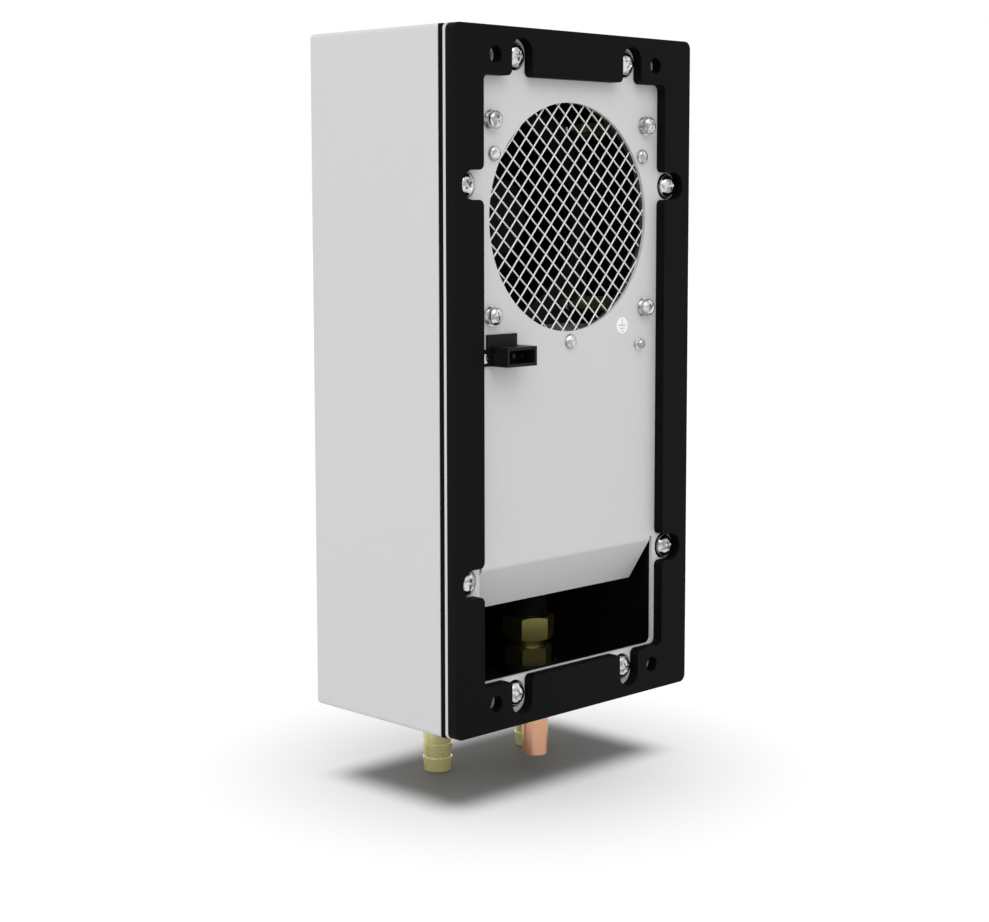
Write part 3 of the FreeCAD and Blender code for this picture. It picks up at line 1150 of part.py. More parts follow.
def make_coil():
    """The finned coil with its end plates, the water circuit and the two sleeved pipes."""
    spots = coil_spots()
    fins = new_body("fin_pack")
    leaf = new_sketch(fins, "fin_outline", "YZ_Plane", "-Size.coil_half")
    rectangle(leaf, "-Size.coil_front + Size.coil_deep / 2", "-Size.coil_top - Size.coil_high / 2",
              "Size.coil_deep", "Size.coil_high")
    for across, height in spots:
        circle(leaf, across, height, "Size.coil_tube + 2 * Size.fit_gap")
    fin = pad(fins, leaf, "fin_leaf", "Size.fin_thick")
    ends = new_sketch(fins, "fin_collars", "YZ_Plane", "-Size.coil_half")
    for across, height in spots:
        circle(ends, across, height, "Size.coil_tube + 2 * Size.fit_gap + 2 * Size.fin_collar")
        circle(ends, across, height, "Size.coil_tube + 2 * Size.fit_gap")
    pad(fins, ends, "fin_collar_tubes", "2 * Size.coil_half")
    row = fins.newObject("PartDesign::LinearPattern", "fin_row")
    row.Originals = [fin]
    run_axis = [item for item in fins.Origin.OriginFeatures if item.Role == "X_Axis"][0]
    row.Direction = (run_axis, [""])
    bind(row, Occurrences="Size.fin_count", Length="(Size.fin_count - 1) * Size.fin_pitch")
    kept.append(fins)

    for label, side in (("end_plate_left", 1), ("end_plate_right", -1)):
        plate = new_body(label)
        near = f"({side}) * (Size.coil_half + Size.fit_gap)"
        far = f"({side}) * (Size.coil_half + Size.fit_gap + Size.end_plate_sheet)"
        foot = f"({side}) * (Size.coil_half + Size.end_plate_foot)"
        bend = new_sketch(plate, f"{label}_section", "XY_Plane",
                          "-Size.coil_top - Size.coil_high")
        polygon(bend, [
            (near, "-Size.coil_front"), (far, "-Size.coil_front"),
            (far, "-Size.plate_front - Size.end_plate_sheet"),
            (foot, "-Size.plate_front - Size.end_plate_sheet"),
            (foot, "-Size.plate_front"), (near, "-Size.plate_front")])
        pad(plate, bend, f"{label}_fold", "Size.coil_high")
        holes = new_sketch(plate, f"{label}_holes", "YZ_Plane", near if side > 0 else far)
        for across, height in spots:
            circle(holes, across, height, "Size.coil_tube + 2 * Size.fit_gap")
        pocket(plate, holes, f"{label}_cuts", "Size.end_plate_sheet")
        kept.append(plate)

    inner = "Size.coil_tube - 2 * Size.coil_tube_wall"
    turn = "(Size.coil_half + Size.end_plate_sheet + Size.coil_stub + Size.coil_pitch / 2)"
    outlet = "(Size.coil_half + Size.end_plate_sheet + Size.coil_end)"
    points = [(outlet, *spots[0])]
    for index, side in enumerate((-1, 1, -1, 1)):
        points.append((f"({side}) * {turn}", *spots[index]))
        points.append((f"({side}) * {turn}", *spots[index + 1]))
    points.append((f"-{outlet}", *spots[4]))
    tube("coil_circuit", points, "Size.coil_tube", inner, "Size.coil_row")

    for name, side, spot, low in (("supply", 1, spots[0], "Size.supply_low"),
                                  ("return", -1, spots[4], "Size.return_low")):
        beside = f"({side}) * Size.pipe_side"
        port = f"({side}) * Size.port_x"
        down = [(beside, spot[0], f"-{low}"), (port, "-Size.port_depth", "-Size.pipe_joint")]
        tube(f"{name}_pipe",
             [(f"({side}) * {outlet}", *spot), (beside, *spot), *down,
              (port, "-Size.port_depth", "-Size.coupling_top")],
             "Size.coil_tube", inner, "Size.pipe_bend")
        tube(f"{name}_sleeve",
             [(beside, spot[0], "-Size.sleeve_top"), *down,
              (port, "-Size.port_depth", "-Size.union_top + Size.sleeve_gap")],
             "Size.coil_tube + 2 * Size.sleeve_wall", "Size.coil_tube + Size.fit_gap",
             "Size.pipe_bend")


def hex_column(label, flats, top, bottom):
    """An upright hexagon between two levels, its corners turned down at both ends."""
    made = new_body(label)
    section = new_sketch(made, f"{label}_hex", "XY_Plane", bottom)
    hexagon(section, "0", "0", flats)
    pad(made, section, f"{label}_bar", f"{top} - ({bottom})")
    corner = f"({flats}) / sqrt(3)"
    for name, level, inwards in (("top", top, -1), ("bottom", bottom, 1)):
        bevel = new_sketch(made, f"{label}_{name}_bevel", "XZ_Plane")
        polygon(bevel, [
            (f"{corner} - Size.hex_chamfer", level),
            (f"{corner} + Size.hex_chamfer", level),
            (f"{corner} + Size.hex_chamfer",
             f"{level} + ({inwards}) * 2 * Size.hex_chamfer * tan(30 deg)")])
        turned = made.newObject("PartDesign::Groove", f"{label}_{name}_corners")
        turned.Profile = bevel
        turned.ReferenceAxis = (bevel, ["V_Axis"])
        turned.Angle = 360
    return made


def add_turned(owner, name, points):
    """Add material turned about the Z axis to a body."""
    outline = new_sketch(owner, f"{name}_outline", "XZ_Plane")
    polygon(outline, points)
    return revolve(owner, outline, name)


def bore_up(owner, name, level, diameter, length):
    """A round hole that starts at a level and goes up."""
    hole = new_sketch(owner, f"{name}_circle", "XY_Plane", level)
    circle(hole, "0", "0", diameter)
    return pocket(owner, hole, name, length)


def make_ports():
    """The two water connections: coupling, union nut, hose tail and flat seal each."""
    floor = "-Size.housing_height / 2"
    under = f"{floor} - Size.port_seal_thick"
    hex_end = f"{under} - Size.barb_hex_high"
    stem_top = "-Size.cover_floor + Size.stem_reach"
    neck = "Size.coupling_neck / 2"
    shoulder = "-Size.coupling_top - Size.coupling_neck_high"
    for name, side in (("supply", 1), ("return", -1)):
        spot = (f"({side}) * Size.port_x", "-Size.port_depth", "0")
        coupling = hex_column(f"{name}_coupling", "Size.coupling_hex", shoulder,
                              "-Size.cover_floor")
        add_turned(coupling, f"{name}_coupling_neck", [
            ("0", f"{shoulder} - Size.join_depth"), (neck, f"{shoulder} - Size.join_depth"),
            (neck, "-Size.coupling_top"), ("0", "-Size.coupling_top")])
        bore_up(coupling, f"{name}_coupling_way", "-Size.cover_floor", "Size.stem_bore",
                "Size.cover_floor - Size.coupling_top")
        bore_up(coupling, f"{name}_coupling_thread", "-Size.cover_floor",
                "Size.port_thread + Size.fit_gap", "Size.stem_reach + Size.stem_end_gap")
        nut = hex_column(f"{name}_union_nut", "Size.union_hex", "-Size.union_top",
                         "-Size.coupling_top")
        bore_up(nut, f"{name}_union_bore", "-Size.coupling_top",
                "Size.coil_tube + 2 * Size.fit_gap", "Size.union_high")
        tail = hex_column(f"{name}_hose_tail", "Size.barb_hex", under, hex_end)
        outline = [("0", stem_top), ("Size.port_thread / 2", stem_top),
                   ("Size.port_thread / 2", f"{under} - Size.join_depth"),
                   ("0", f"{under} - Size.join_depth")]
        add_turned(tail, f"{name}_tail_stem", outline)
        first = "-Size.barb_tip + Size.barb_count * Size.barb_pitch"
        ridges = [("0", f"{hex_end} + Size.join_depth"),
                  ("Size.barb_neck / 2", f"{hex_end} + Size.join_depth"),
                  ("Size.barb_neck / 2", first)]
        for step in range(int(num("Size.barb_count"))):
            ridges.append(("Size.barb_ridge / 2", f"{first} - {step} * Size.barb_pitch"))
            ridges.append(("Size.barb_neck / 2", f"{first} - {step + 1} * Size.barb_pitch"))
        ridges.append(("0", "-Size.barb_tip"))
        add_turned(tail, f"{name}_tail_ridges", ridges)
        bore_up(tail, f"{name}_tail_way", "-Size.barb_tip", "Size.barb_bore",
                f"Size.barb_tip + {hex_end}")
        bore_up(tail, f"{name}_stem_way", hex_end, "Size.stem_bore",
                f"{stem_top} - ({hex_end})")
        for made in (coupling, nut, tail):
            place(made, *spot)
            kept.append(made)
    ring = upright_piece("port_seals_one", [
        ("Size.port_thread / 2 + Size.fit_gap", under),
        ("Size.barb_hex / 2 + Size.port_seal_margin", under),
        ("Size.barb_hex / 2 + Size.port_seal_margin", floor),
        ("Size.port_thread / 2 + Size.fit_gap", floor)])
    kept.append(group("port_seals", ring, [
        (f"({side}) * Size.port_x", "-Size.port_depth", "0") for side in (1, -1)]))


def make_drain():
    """The condensate tray, the drain tube that hangs from it and the rubber ring below."""
    floor = "-Size.cover_floor"
    tray_floor = f"{floor} + Size.tray_wall"
    rim = f"{tray_floor} + Size.drain_rim_high"
    outer = "Size.drain_tube / 2"
    drain = upright_piece("drain_tube", [
        (f"{outer} - Size.drain_wall", "-Size.drain_end"), (outer, "-Size.drain_end"),
        (outer, tray_floor), ("Size.drain_rim / 2", tray_floor), ("Size.drain_rim / 2", rim),
        (f"{outer} - Size.drain_wall", rim)])
    place(drain, "0", "-Size.drain_depth", "0")
    kept.append(drain)

    inner = f"{outer} + Size.fit_gap / 2"
    below = "-Size.housing_height / 2"
    neck = f"{outer} + Size.drain_ring_neck"
    flange = f"{outer} + Size.drain_ring_wall"
    ring = upright_piece("drain_ring", [
        (inner, floor), (neck, floor), (neck, below), (flange, below),
        (flange, f"{below} - Size.drain_ring_high"), (inner, f"{below} - Size.drain_ring_high")])
    place(ring, "0", "-Size.drain_depth", "0")
    kept.append(ring)

    tray = new_body("condensate_tray")
    half = "(Size.liner_half_width - Size.tray_gap)"
    back = "(-Size.cover_rear - Size.cover_sheet - Size.tray_gap)"
    front = "(-Size.liner_front + Size.tray_gap)"
    outline = new_sketch(tray, "tray_outline", "XY_Plane", floor)
    rectangle(outline, "0", f"({back} + {front}) / 2", f"2 * {half}", f"({back} - {front})")
    pad(tray, outline, "tray_block", "Size.tray_high")
    hollow = new_sketch(tray, "tray_hollow", "XY_Plane", tray_floor)
    rectangle(hollow, "0", f"({back} + {front}) / 2", f"2 * {half} - 2 * Size.tray_wall",
              f"({back} - {front}) - 2 * Size.tray_wall")
    collar = "Size.coupling_hex / sqrt(3) * 2 + 2 * Size.tray_collar_gap"
    for side in (1, -1):
        circle(hollow, f"({side}) * Size.port_x", "-Size.port_depth",
               f"{collar} + 2 * Size.tray_wall")
    pocket(tray, hollow, "tray_basin", "Size.tray_high")
    holes = new_sketch(tray, "tray_holes", "XY_Plane", floor)
    for side in (1, -1):
        circle(holes, f"({side}) * Size.port_x", "-Size.port_depth", collar)
    circle(holes, "0", "-Size.drain_depth", "Size.drain_tube + 2 * Size.fit_gap")
    pocket(tray, holes, "tray_openings", "Size.tray_high")
    kept.append(tray)

    liner = new_body("cover_liner")
    start = "Size.cover_rear + Size.cover_sheet + Size.liner_gap"
    wide = "2 * (Size.liner_half_width + Size.liner_thick)"
    roof = "(Size.cover_floor - Size.liner_gap)"
    back_end = new_sketch(liner, "liner_outline", "XZ_Plane", start)
    rectangle(back_end, "0", "0", wide, f"2 * {roof}")
    pad(liner, back_end, "liner_block", f"Size.liner_front + Size.liner_thick - ({start})")
    space = new_sketch(liner, "liner_space", "XZ_Plane", start)
    rectangle(space, "0", "-Size.liner_thick", "2 * Size.liner_half_width", f"2 * {roof}")
    pocket(liner, space, "liner_hollow", f"Size.liner_front - ({start})")
    kept.append(liner)


def make_plug():
    """The plug socket with its contacts and screws, the earth stud and the earth label."""
    plug = new_body("plug_socket")
    middle = ("Size.plug_x", "Size.plug_z")
    ears = new_sketch(plug, "plug_ears", "XZ_Plane", "Size.plate_rear - Size.plug_ear_thick")
    low = "(Size.plug_z - Size.plug_high / 2)"
    rectangle(ears, "Size.plug_x", f"{low} + Size.plug_ear_high / 2",
              "Size.plug_screw_pitch + Size.plug_ear_end * 2", "Size.plug_ear_high")
    pad(plug, ears, "plug_ear_plate", "Size.plug_ear_thick")
    raised = new_sketch(plug, "plug_flange", "XZ_Plane", "Size.plate_rear - Size.plug_flange_thick")
    rectangle(raised, "(Size.plug_flange_left + Size.plug_flange_right) / 2",
              f"({low} + Size.plug_flange_top) / 2",
              "Size.plug_flange_left - Size.plug_flange_right", f"Size.plug_flange_top - {low}")
    pad(plug, raised, "plug_flange_plate", "Size.plug_flange_thick")
    box = new_sketch(plug, "plug_box", "XZ_Plane", "-Size.plug_out")
    rectangle(box, *middle, "Size.plug_width", "Size.plug_high")
    pad(plug, box, "plug_box_wall", "Size.plug_out + Size.plate_rear")
    body = new_sketch(plug, "plug_body", "XZ_Plane", "Size.plate_rear - Size.plug_flange_thick")
    rectangle(body, *middle, "Size.plug_width - 2 * Size.plug_wall",
              "Size.plug_high - 2 * Size.plug_wall")
    pad(plug, body, "plug_body_block",
        "Size.plug_flange_thick + Size.plate_thick + Size.plug_body_back")
    inside = new_sketch(plug, "plug_inside", "XZ_Plane", "-Size.plug_out")
    rectangle(inside, *middle, "Size.plug_width - 2 * Size.plug_wall",
              "Size.plug_high - 2 * Size.plug_wall")
    pocket(plug, inside, "plug_cavity_cut", "Size.plug_cavity")
    poles = new_sketch(plug, "plug_poles", "XZ_Plane", "-Size.plug_out")
    for step in (-1, 0, 1):
        rectangle(poles, f"Size.plug_x + ({step}) * Size.pole_pitch", "Size.plug_z",
                  "Size.pole_size + Size.fit_gap", "Size.pole_size + Size.fit_gap")
    pocket(plug, poles, "plug_pole_holes", "Size.plug_out + Size.plate_front + Size.plug_body_back")
    screws = new_sketch(plug, "plug_screw_holes", "XZ_Plane", "Size.plate_rear - Size.plug_ear_thick")
    for across, depth, height in plug_screw_places("0"):
        circle(screws, across, height, "Size.plug_screw + 2 * Size.fit_gap")
    pocket(plug, screws, "plug_screw_cuts", "Size.plug_ear_thick")
    heads = new_sketch(plug, "plug_head_reliefs", "XZ_Plane",
                       "Size.plate_rear - Size.plug_flange_thick")
    for across, depth, height in plug_screw_places("0"):
        circle(heads, across, height, "Size.plug_screw_head + 2 * Size.fit_gap")
    pocket(plug, heads, "plug_head_cuts", "Size.plug_flange_thick - Size.plug_ear_thick")
    kept.append(plug)

    contact = new_body("plug_contacts_one")
    section = new_sketch(contact, "contact_section", "XZ_Plane")
    rectangle(section, "0", "0", "Size.pole_size", "Size.pole_size")
    pad(contact, section, "contact_bar",
        "Size.plug_out - Size.pole_gap + Size.plate_front + Size.plug_body_back"
        " + Size.pole_tail")
    kept.append(group("plug_contacts", contact, [
        (f"Size.plug_x + ({step}) * Size.pole_pitch", "Size.plug_out - Size.pole_gap",
         "Size.plug_z") for step in (-1, 0, 1)]))
    screw("plug_screws", "Size.plug_screw_head", "Size.plug_screw_head_high", "Size.plug_screw",
          "Size.plug_screw_long", plug_screw_places("Size.plate_rear - Size.plug_ear_thick"))

    stud = turned_piece("earth_stud", [
        ("0", "0"), ("Size.earth_foot / 2", "0"), ("Size.earth_foot / 2", "Size.earth_foot_thick"),
        ("Size.earth_stud / 2", "Size.earth_foot_thick"),
        ("Size.earth_stud / 2", "Size.earth_long - Size.earth_chamfer"),
        ("Size.earth_stud / 2 - Size.earth_chamfer", "Size.earth_long"),
        ("0", "Size.earth_long")])
    place(stud, "-Size.earth_x", "-Size.plate_rear", "Size.earth_z")
    kept.append(stud)
    label = turned_piece("earth_label", [
        ("0", "0"), ("Size.label / 2", "0"), ("Size.label / 2", "Size.label_thick"),
        ("0", "Size.label_thick")])
    place(label, "-Size.label_x", "-Size.plate_rear", "Size.label_z")
    kept.append(label)


for builder in (make_cover, make_cover_seal, make_rear_plate, make_gasket, make_fasteners,
                make_guard, make_fan_carrier, make_fan, make_coil, make_ports, make_drain,
                make_plug):
    builder()

doc.recompute()

faulty = [item.Name for item in doc.Objects if "Invalid" in item.State or "Error" in item.State]
faulty += [item.Label for item in kept if item.Shape.isNull() or not item.Shape.isValid()]
if faulty:
    raise RuntimeError(f"faulty: {faulty}")

os.makedirs("parts", exist_ok=True)
for piece in kept:
    piece.Shape.exportStep(f"parts/{piece.Label}.step")
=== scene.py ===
"""Dressed model of a slim air-to-water heat exchanger for a small cabinet.

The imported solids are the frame. This script gives every piece its finish, replaces the guard
mesh, the screws, the rivets and the earth stud by finer ones, draws the earth symbol, and sets
up the studio. Lengths are metres. X runs across the unit, Y points out of its rear, Z is up.
"""

import json
import logging
import math
from dataclasses import dataclass
from enum import Enum

import bmesh
import bpy
from mathutils import Matrix, Vector


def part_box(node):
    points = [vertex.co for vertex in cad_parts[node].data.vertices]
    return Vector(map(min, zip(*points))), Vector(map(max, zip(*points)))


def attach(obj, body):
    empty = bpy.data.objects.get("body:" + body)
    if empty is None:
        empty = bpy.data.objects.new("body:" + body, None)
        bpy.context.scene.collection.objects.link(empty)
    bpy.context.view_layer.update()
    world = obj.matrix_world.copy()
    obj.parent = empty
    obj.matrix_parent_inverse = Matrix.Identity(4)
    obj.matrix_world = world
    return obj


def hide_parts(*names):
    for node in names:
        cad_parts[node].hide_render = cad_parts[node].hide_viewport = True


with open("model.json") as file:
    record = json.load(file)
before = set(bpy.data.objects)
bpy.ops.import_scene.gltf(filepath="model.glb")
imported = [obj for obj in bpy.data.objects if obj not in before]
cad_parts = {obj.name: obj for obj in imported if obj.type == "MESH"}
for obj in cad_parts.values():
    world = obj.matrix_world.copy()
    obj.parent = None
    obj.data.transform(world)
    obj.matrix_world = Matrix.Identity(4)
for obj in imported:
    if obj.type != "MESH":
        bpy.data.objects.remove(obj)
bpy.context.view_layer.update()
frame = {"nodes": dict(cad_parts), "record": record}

log = logging.getLogger("heat_exchanger")

MM = 0.001
HOUSING = "housing"

Feed = bpy.types.NodeSocket | float
Colour = tuple[float, float, float]


class Grain(Enum):
    """Kinds of fine surface structure, and one of painted reflections."""

    POWDER = "powder_skin"
    FOAM = "foam_cells"
    STREAKS = "drawn_streaks"
    MOULDED = "moulded_skin"
    # Sharp dark patches on bright metal: painted reflections of darker surroundings.
    PAINTED_REFLECTIONS = "painted_reflection_patches"


def link(tree: bpy.types.NodeTree, source: bpy.types.NodeSocket,
         target: bpy.types.NodeSocket) -> None:
    """Join two sockets of a node tree."""
    tree.links.new(source, target)


def feed(tree: bpy.types.NodeTree, value: object, target: bpy.types.NodeSocket) -> None:
    """Set a socket to a value, or join it to the socket that gives the value.

    Args:
        tree: The node tree that holds the socket.
        value: A plain value or another socket.
        target: The socket that gets it.
    """
    if isinstance(value, bpy.types.NodeSocket):
        link(tree, value, target)
    else:
        target.default_value = value


def add(tree: bpy.types.NodeTree, kind: str, **values: object) -> bpy.types.Node:
    """Add a node and set its properties.

    Args:
        tree: The node tree that gets the node.
        kind: The node's type name.
        **values: Properties of the node by name.

    Returns:
        The new node.
    """
    node = tree.nodes.new(kind)
    for name, value in values.items():
        setattr(node, name, value)
    return node


def math_node(tree: bpy.types.NodeTree, operation: str, first: Feed,
              second: Feed = 0.0) -> bpy.types.NodeSocket:
    """Add a math node fed by numbers or sockets.

    Args:
        tree: The node tree that gets the node.
        operation: The node's operation.
        first: A number or a socket.
        second: A number or a socket.

    Returns:
        The node's output socket.
    """
    node = add(tree, "ShaderNodeMath", operation=operation)
    feed(tree, first, node.inputs[0])
    feed(tree, second, node.inputs[1])
    return node.outputs[0]


def smooth_ramp(tree: bpy.types.NodeTree, value: bpy.types.NodeSocket, start: float,
                end: float) -> bpy.types.NodeSocket:
    """Rise smoothly from zero to one between two values.

    Args:
        tree: The shader tree that gets the node.
        value: The socket to read.
        start: Value where the rise starts.
        end: Value where it ends.

    Returns:
        The result's socket.
    """
    node = add(tree, "ShaderNodeMapRange", interpolation_type="SMOOTHSTEP")
    node.inputs["From Min"].default_value = start
    node.inputs["From Max"].default_value = end
    link(tree, value, node.inputs["Value"])
    return node.outputs["Result"]


def opposite(tree: bpy.types.NodeTree, value: bpy.types.NodeSocket) -> bpy.types.NodeSocket:
    """Add the node for one less a value."""
    return math_node(tree, "SUBTRACT", 1.0, value)


def directly_seen(tree: bpy.types.NodeTree) -> bpy.types.NodeSocket:
    """Tell what is looked at, also in metal or through glass, from what only lights the object.

    Args:
        tree: The shader tree that gets the nodes.

    Returns:
        A socket that is one where the surface is looked at and zero otherwise.
    """
    path = add(tree, "ShaderNodeLightPath")
    seen = math_node(tree, "MAXIMUM", path.outputs["Is Camera Ray"], path.outputs["Is Glossy Ray"])
    return math_node(tree, "MAXIMUM", seen, path.outputs["Is Transmission Ray"])


class SurfaceGroups:
    """Shader node groups that several finishes share, each built once.

    A group blends two tones by a fine structure and a wide mottle. The same blend makes the
    roughness swing, and the structure's height drives the bump.
    """

    INPUTS = (("Tone", "NodeSocketColor"), ("Second Tone", "NodeSocketColor"),
              ("Cell", "NodeSocketFloat"), ("Roughness", "NodeSocketFloat"),
              ("Spread", "NodeSocketFloat"), ("Stretch", "NodeSocketVector"))
    OUTPUTS = (("Color", "NodeSocketColor"), ("Roughness", "NodeSocketFloat"),
               ("Height", "NodeSocketFloat"))
    MOTTLE_SCALE = 9.0
    MOTTLE_DETAIL = 3.0
    MOTTLE_SHARE = 0.4
    NOISE_DETAIL = {Grain.POWDER: 2.0, Grain.STREAKS: 4.0, Grain.MOULDED: 2.0, Grain.PAINTED_REFLECTIONS: 2.0}
    NOISE_ROUGHNESS = {Grain.POWDER: 0.5, Grain.STREAKS: 0.5, Grain.MOULDED: 0.65,
                       Grain.PAINTED_REFLECTIONS: 0.5}
    # Edges of the painted reflection patches.
    REFLECTION_PATCH_EDGES = (0.4, 0.62)
    MIX_FIRST, MIX_SECOND, MIX_RESULT = 6, 7, 2

    def __init__(self) -> None:
        """Build one group for each kind of grain."""
        self.groups = {grain: self._build(grain) for grain in Grain}

    def _build(self, grain: Grain) -> bpy.types.NodeTree:
        """Build the group of one grain.

        Args:
            grain: The kind of surface structure.

        Returns:
            The shader node group.
        """
        tree = bpy.data.node_groups.new(grain.value, "ShaderNodeTree")
        for name, kind in self.INPUTS:
            tree.interface.new_socket(name=name, in_out="INPUT", socket_type=kind)
        for name, kind in self.OUTPUTS:
            tree.interface.new_socket(name=name, in_out="OUTPUT", socket_type=kind)
        given = add(tree, "NodeGroupInput")
        result = add(tree, "NodeGroupOutput")
        place = add(tree, "ShaderNodeTexCoord")
        stretch = add(tree, "ShaderNodeVectorMath", operation="MULTIPLY")
        link(tree, place.outputs["Object"], stretch.inputs[0])
        link(tree, given.outputs["Stretch"], stretch.inputs[1])
        frequency = math_node(tree, "DIVIDE", 1.0, given.outputs["Cell"])
        height = self._structure(tree, grain, stretch.outputs[0], frequency)
        mottle = add(tree, "ShaderNodeTexNoise")
        mottle.inputs["Scale"].default_value = self.MOTTLE_SCALE
        mottle.inputs["Detail"].default_value = self.MOTTLE_DETAIL
        link(tree, place.outputs["Object"], mottle.inputs["Vector"])
        share = math_node(tree, "ADD",
                          math_node(tree, "MULTIPLY", height, 1.0 - self.MOTTLE_SHARE),
                          math_node(tree, "MULTIPLY", mottle.outputs[0], self.MOTTLE_SHARE))
        blend = add(tree, "ShaderNodeMix", data_type="RGBA")
        link(tree, share, blend.inputs["Factor"])
        link(tree, given.outputs["Tone"], blend.inputs[self.MIX_FIRST])
        link(tree, given.outputs["Second Tone"], blend.inputs[self.MIX_SECOND])
        link(tree, blend.outputs[self.MIX_RESULT], result.inputs["Color"])
        swing = math_node(tree, "MULTIPLY", math_node(tree, "SUBTRACT", share, 0.5),
                          given.outputs["Spread"])
        rough = math_node(tree, "ADD", given.outputs["Roughness"], swing)
        link(tree, rough, result.inputs["Roughness"])
        link(tree, height, result.inputs["Height"])
        return tree

    def _structure(self, tree: bpy.types.NodeTree, grain: Grain, vector: bpy.types.NodeSocket,
                   frequency: bpy.types.NodeSocket) -> bpy.types.NodeSocket:
        """Add the nodes of the fine structure itself.

        Args:
            tree: The group's node tree.
            grain: The kind of surface structure.
            vector: Stretched object coordinates.
            frequency: Structures per metre.

        Returns:
            The socket of the height, from 0 to 1.
        """
        if grain is Grain.FOAM:
            cells = add(tree, "ShaderNodeTexVoronoi", feature="F1")
            link(tree, vector, cells.inputs["Vector"])
            link(tree, frequency, cells.inputs["Scale"])
            return math_node(tree, "SUBTRACT", 1.0, cells.outputs["Distance"])
        noise = add(tree, "ShaderNodeTexNoise")
        noise.inputs["Detail"].default_value = self.NOISE_DETAIL[grain]
        noise.inputs["Roughness"].default_value = self.NOISE_ROUGHNESS[grain]
        link(tree, vector, noise.inputs["Vector"])
        link(tree, frequency, noise.inputs["Scale"])
        # Painted reflections: sharp-edged dark patches.
        if grain is Grain.PAINTED_REFLECTIONS:
            return smooth_ramp(tree, noise.outputs[0], *self.REFLECTION_PATCH_EDGES)
        return noise.outputs[0]


@dataclass(frozen=True)
class Finish:
    """One finish: its two tones, gloss and fine structure.

    Attributes:
        name: Name of the material.
        tone: Colour where the structure is low.
        second: Colour where it is high.
        grain: Kind of structure.
        cell: Size of one structure in metres.
        roughness: Middle roughness.
        spread: How far the roughness swings.
        metallic: Share of metal.
        relief: Strength of the bump.
        depth: Height of the bump in metres.
        stretch: Factors for the object coordinates, larger where the structure is finer.
        specular: Strength of the plain reflection.
    """

    name: str
    tone: Colour
    second: Colour
    grain: Grain
    cell: float
    roughness: float
    spread: float = 0.1
    metallic: float = 0.0
    relief: float = 0.15
    depth: float = 0.00005
    stretch: tuple[float, float, float] = (1.0, 1.0, 1.0)
    specular: float = 0.5

    def build(self, surfaces: SurfaceGroups) -> bpy.types.Material:
        """Make the material of this finish.

        Args:
            surfaces: The shared shader groups.

        Returns:
            The new material.
        """
        material = bpy.data.materials.new(self.name)
        material.use_nodes = True
        tree = material.node_tree
        shader = tree.nodes["Principled BSDF"]
        skin = add(tree, "ShaderNodeGroup", node_tree=surfaces.groups[self.grain])
        skin.inputs["Tone"].default_value = (*self.tone, 1.0)
        skin.inputs["Second Tone"].default_value = (*self.second, 1.0)
        skin.inputs["Cell"].default_value = self.cell
        skin.inputs["Roughness"].default_value = self.roughness
        skin.inputs["Spread"].default_value = self.spread
        skin.inputs["Stretch"].default_value = self.stretch
        link(tree, skin.outputs["Color"], shader.inputs["Base Color"])
        link(tree, skin.outputs["Roughness"], shader.inputs["Roughness"])
        bump = add(tree, "ShaderNodeBump")
        bump.inputs["Strength"].default_value = self.relief
        bump.inputs["Distance"].default_value = self.depth
        link(tree, skin.outputs["Height"], bump.inputs["Height"])
        link(tree, bump.outputs["Normal"], shader.inputs["Normal"])
        shader.inputs["Metallic"].default_value = self.metallic
        shader.inputs["Specular IOR Level"].default_value = self.specular
        return material


def grey(level: float) -> Colour:
    """A neutral colour of one level."""
    return (level, level, level)


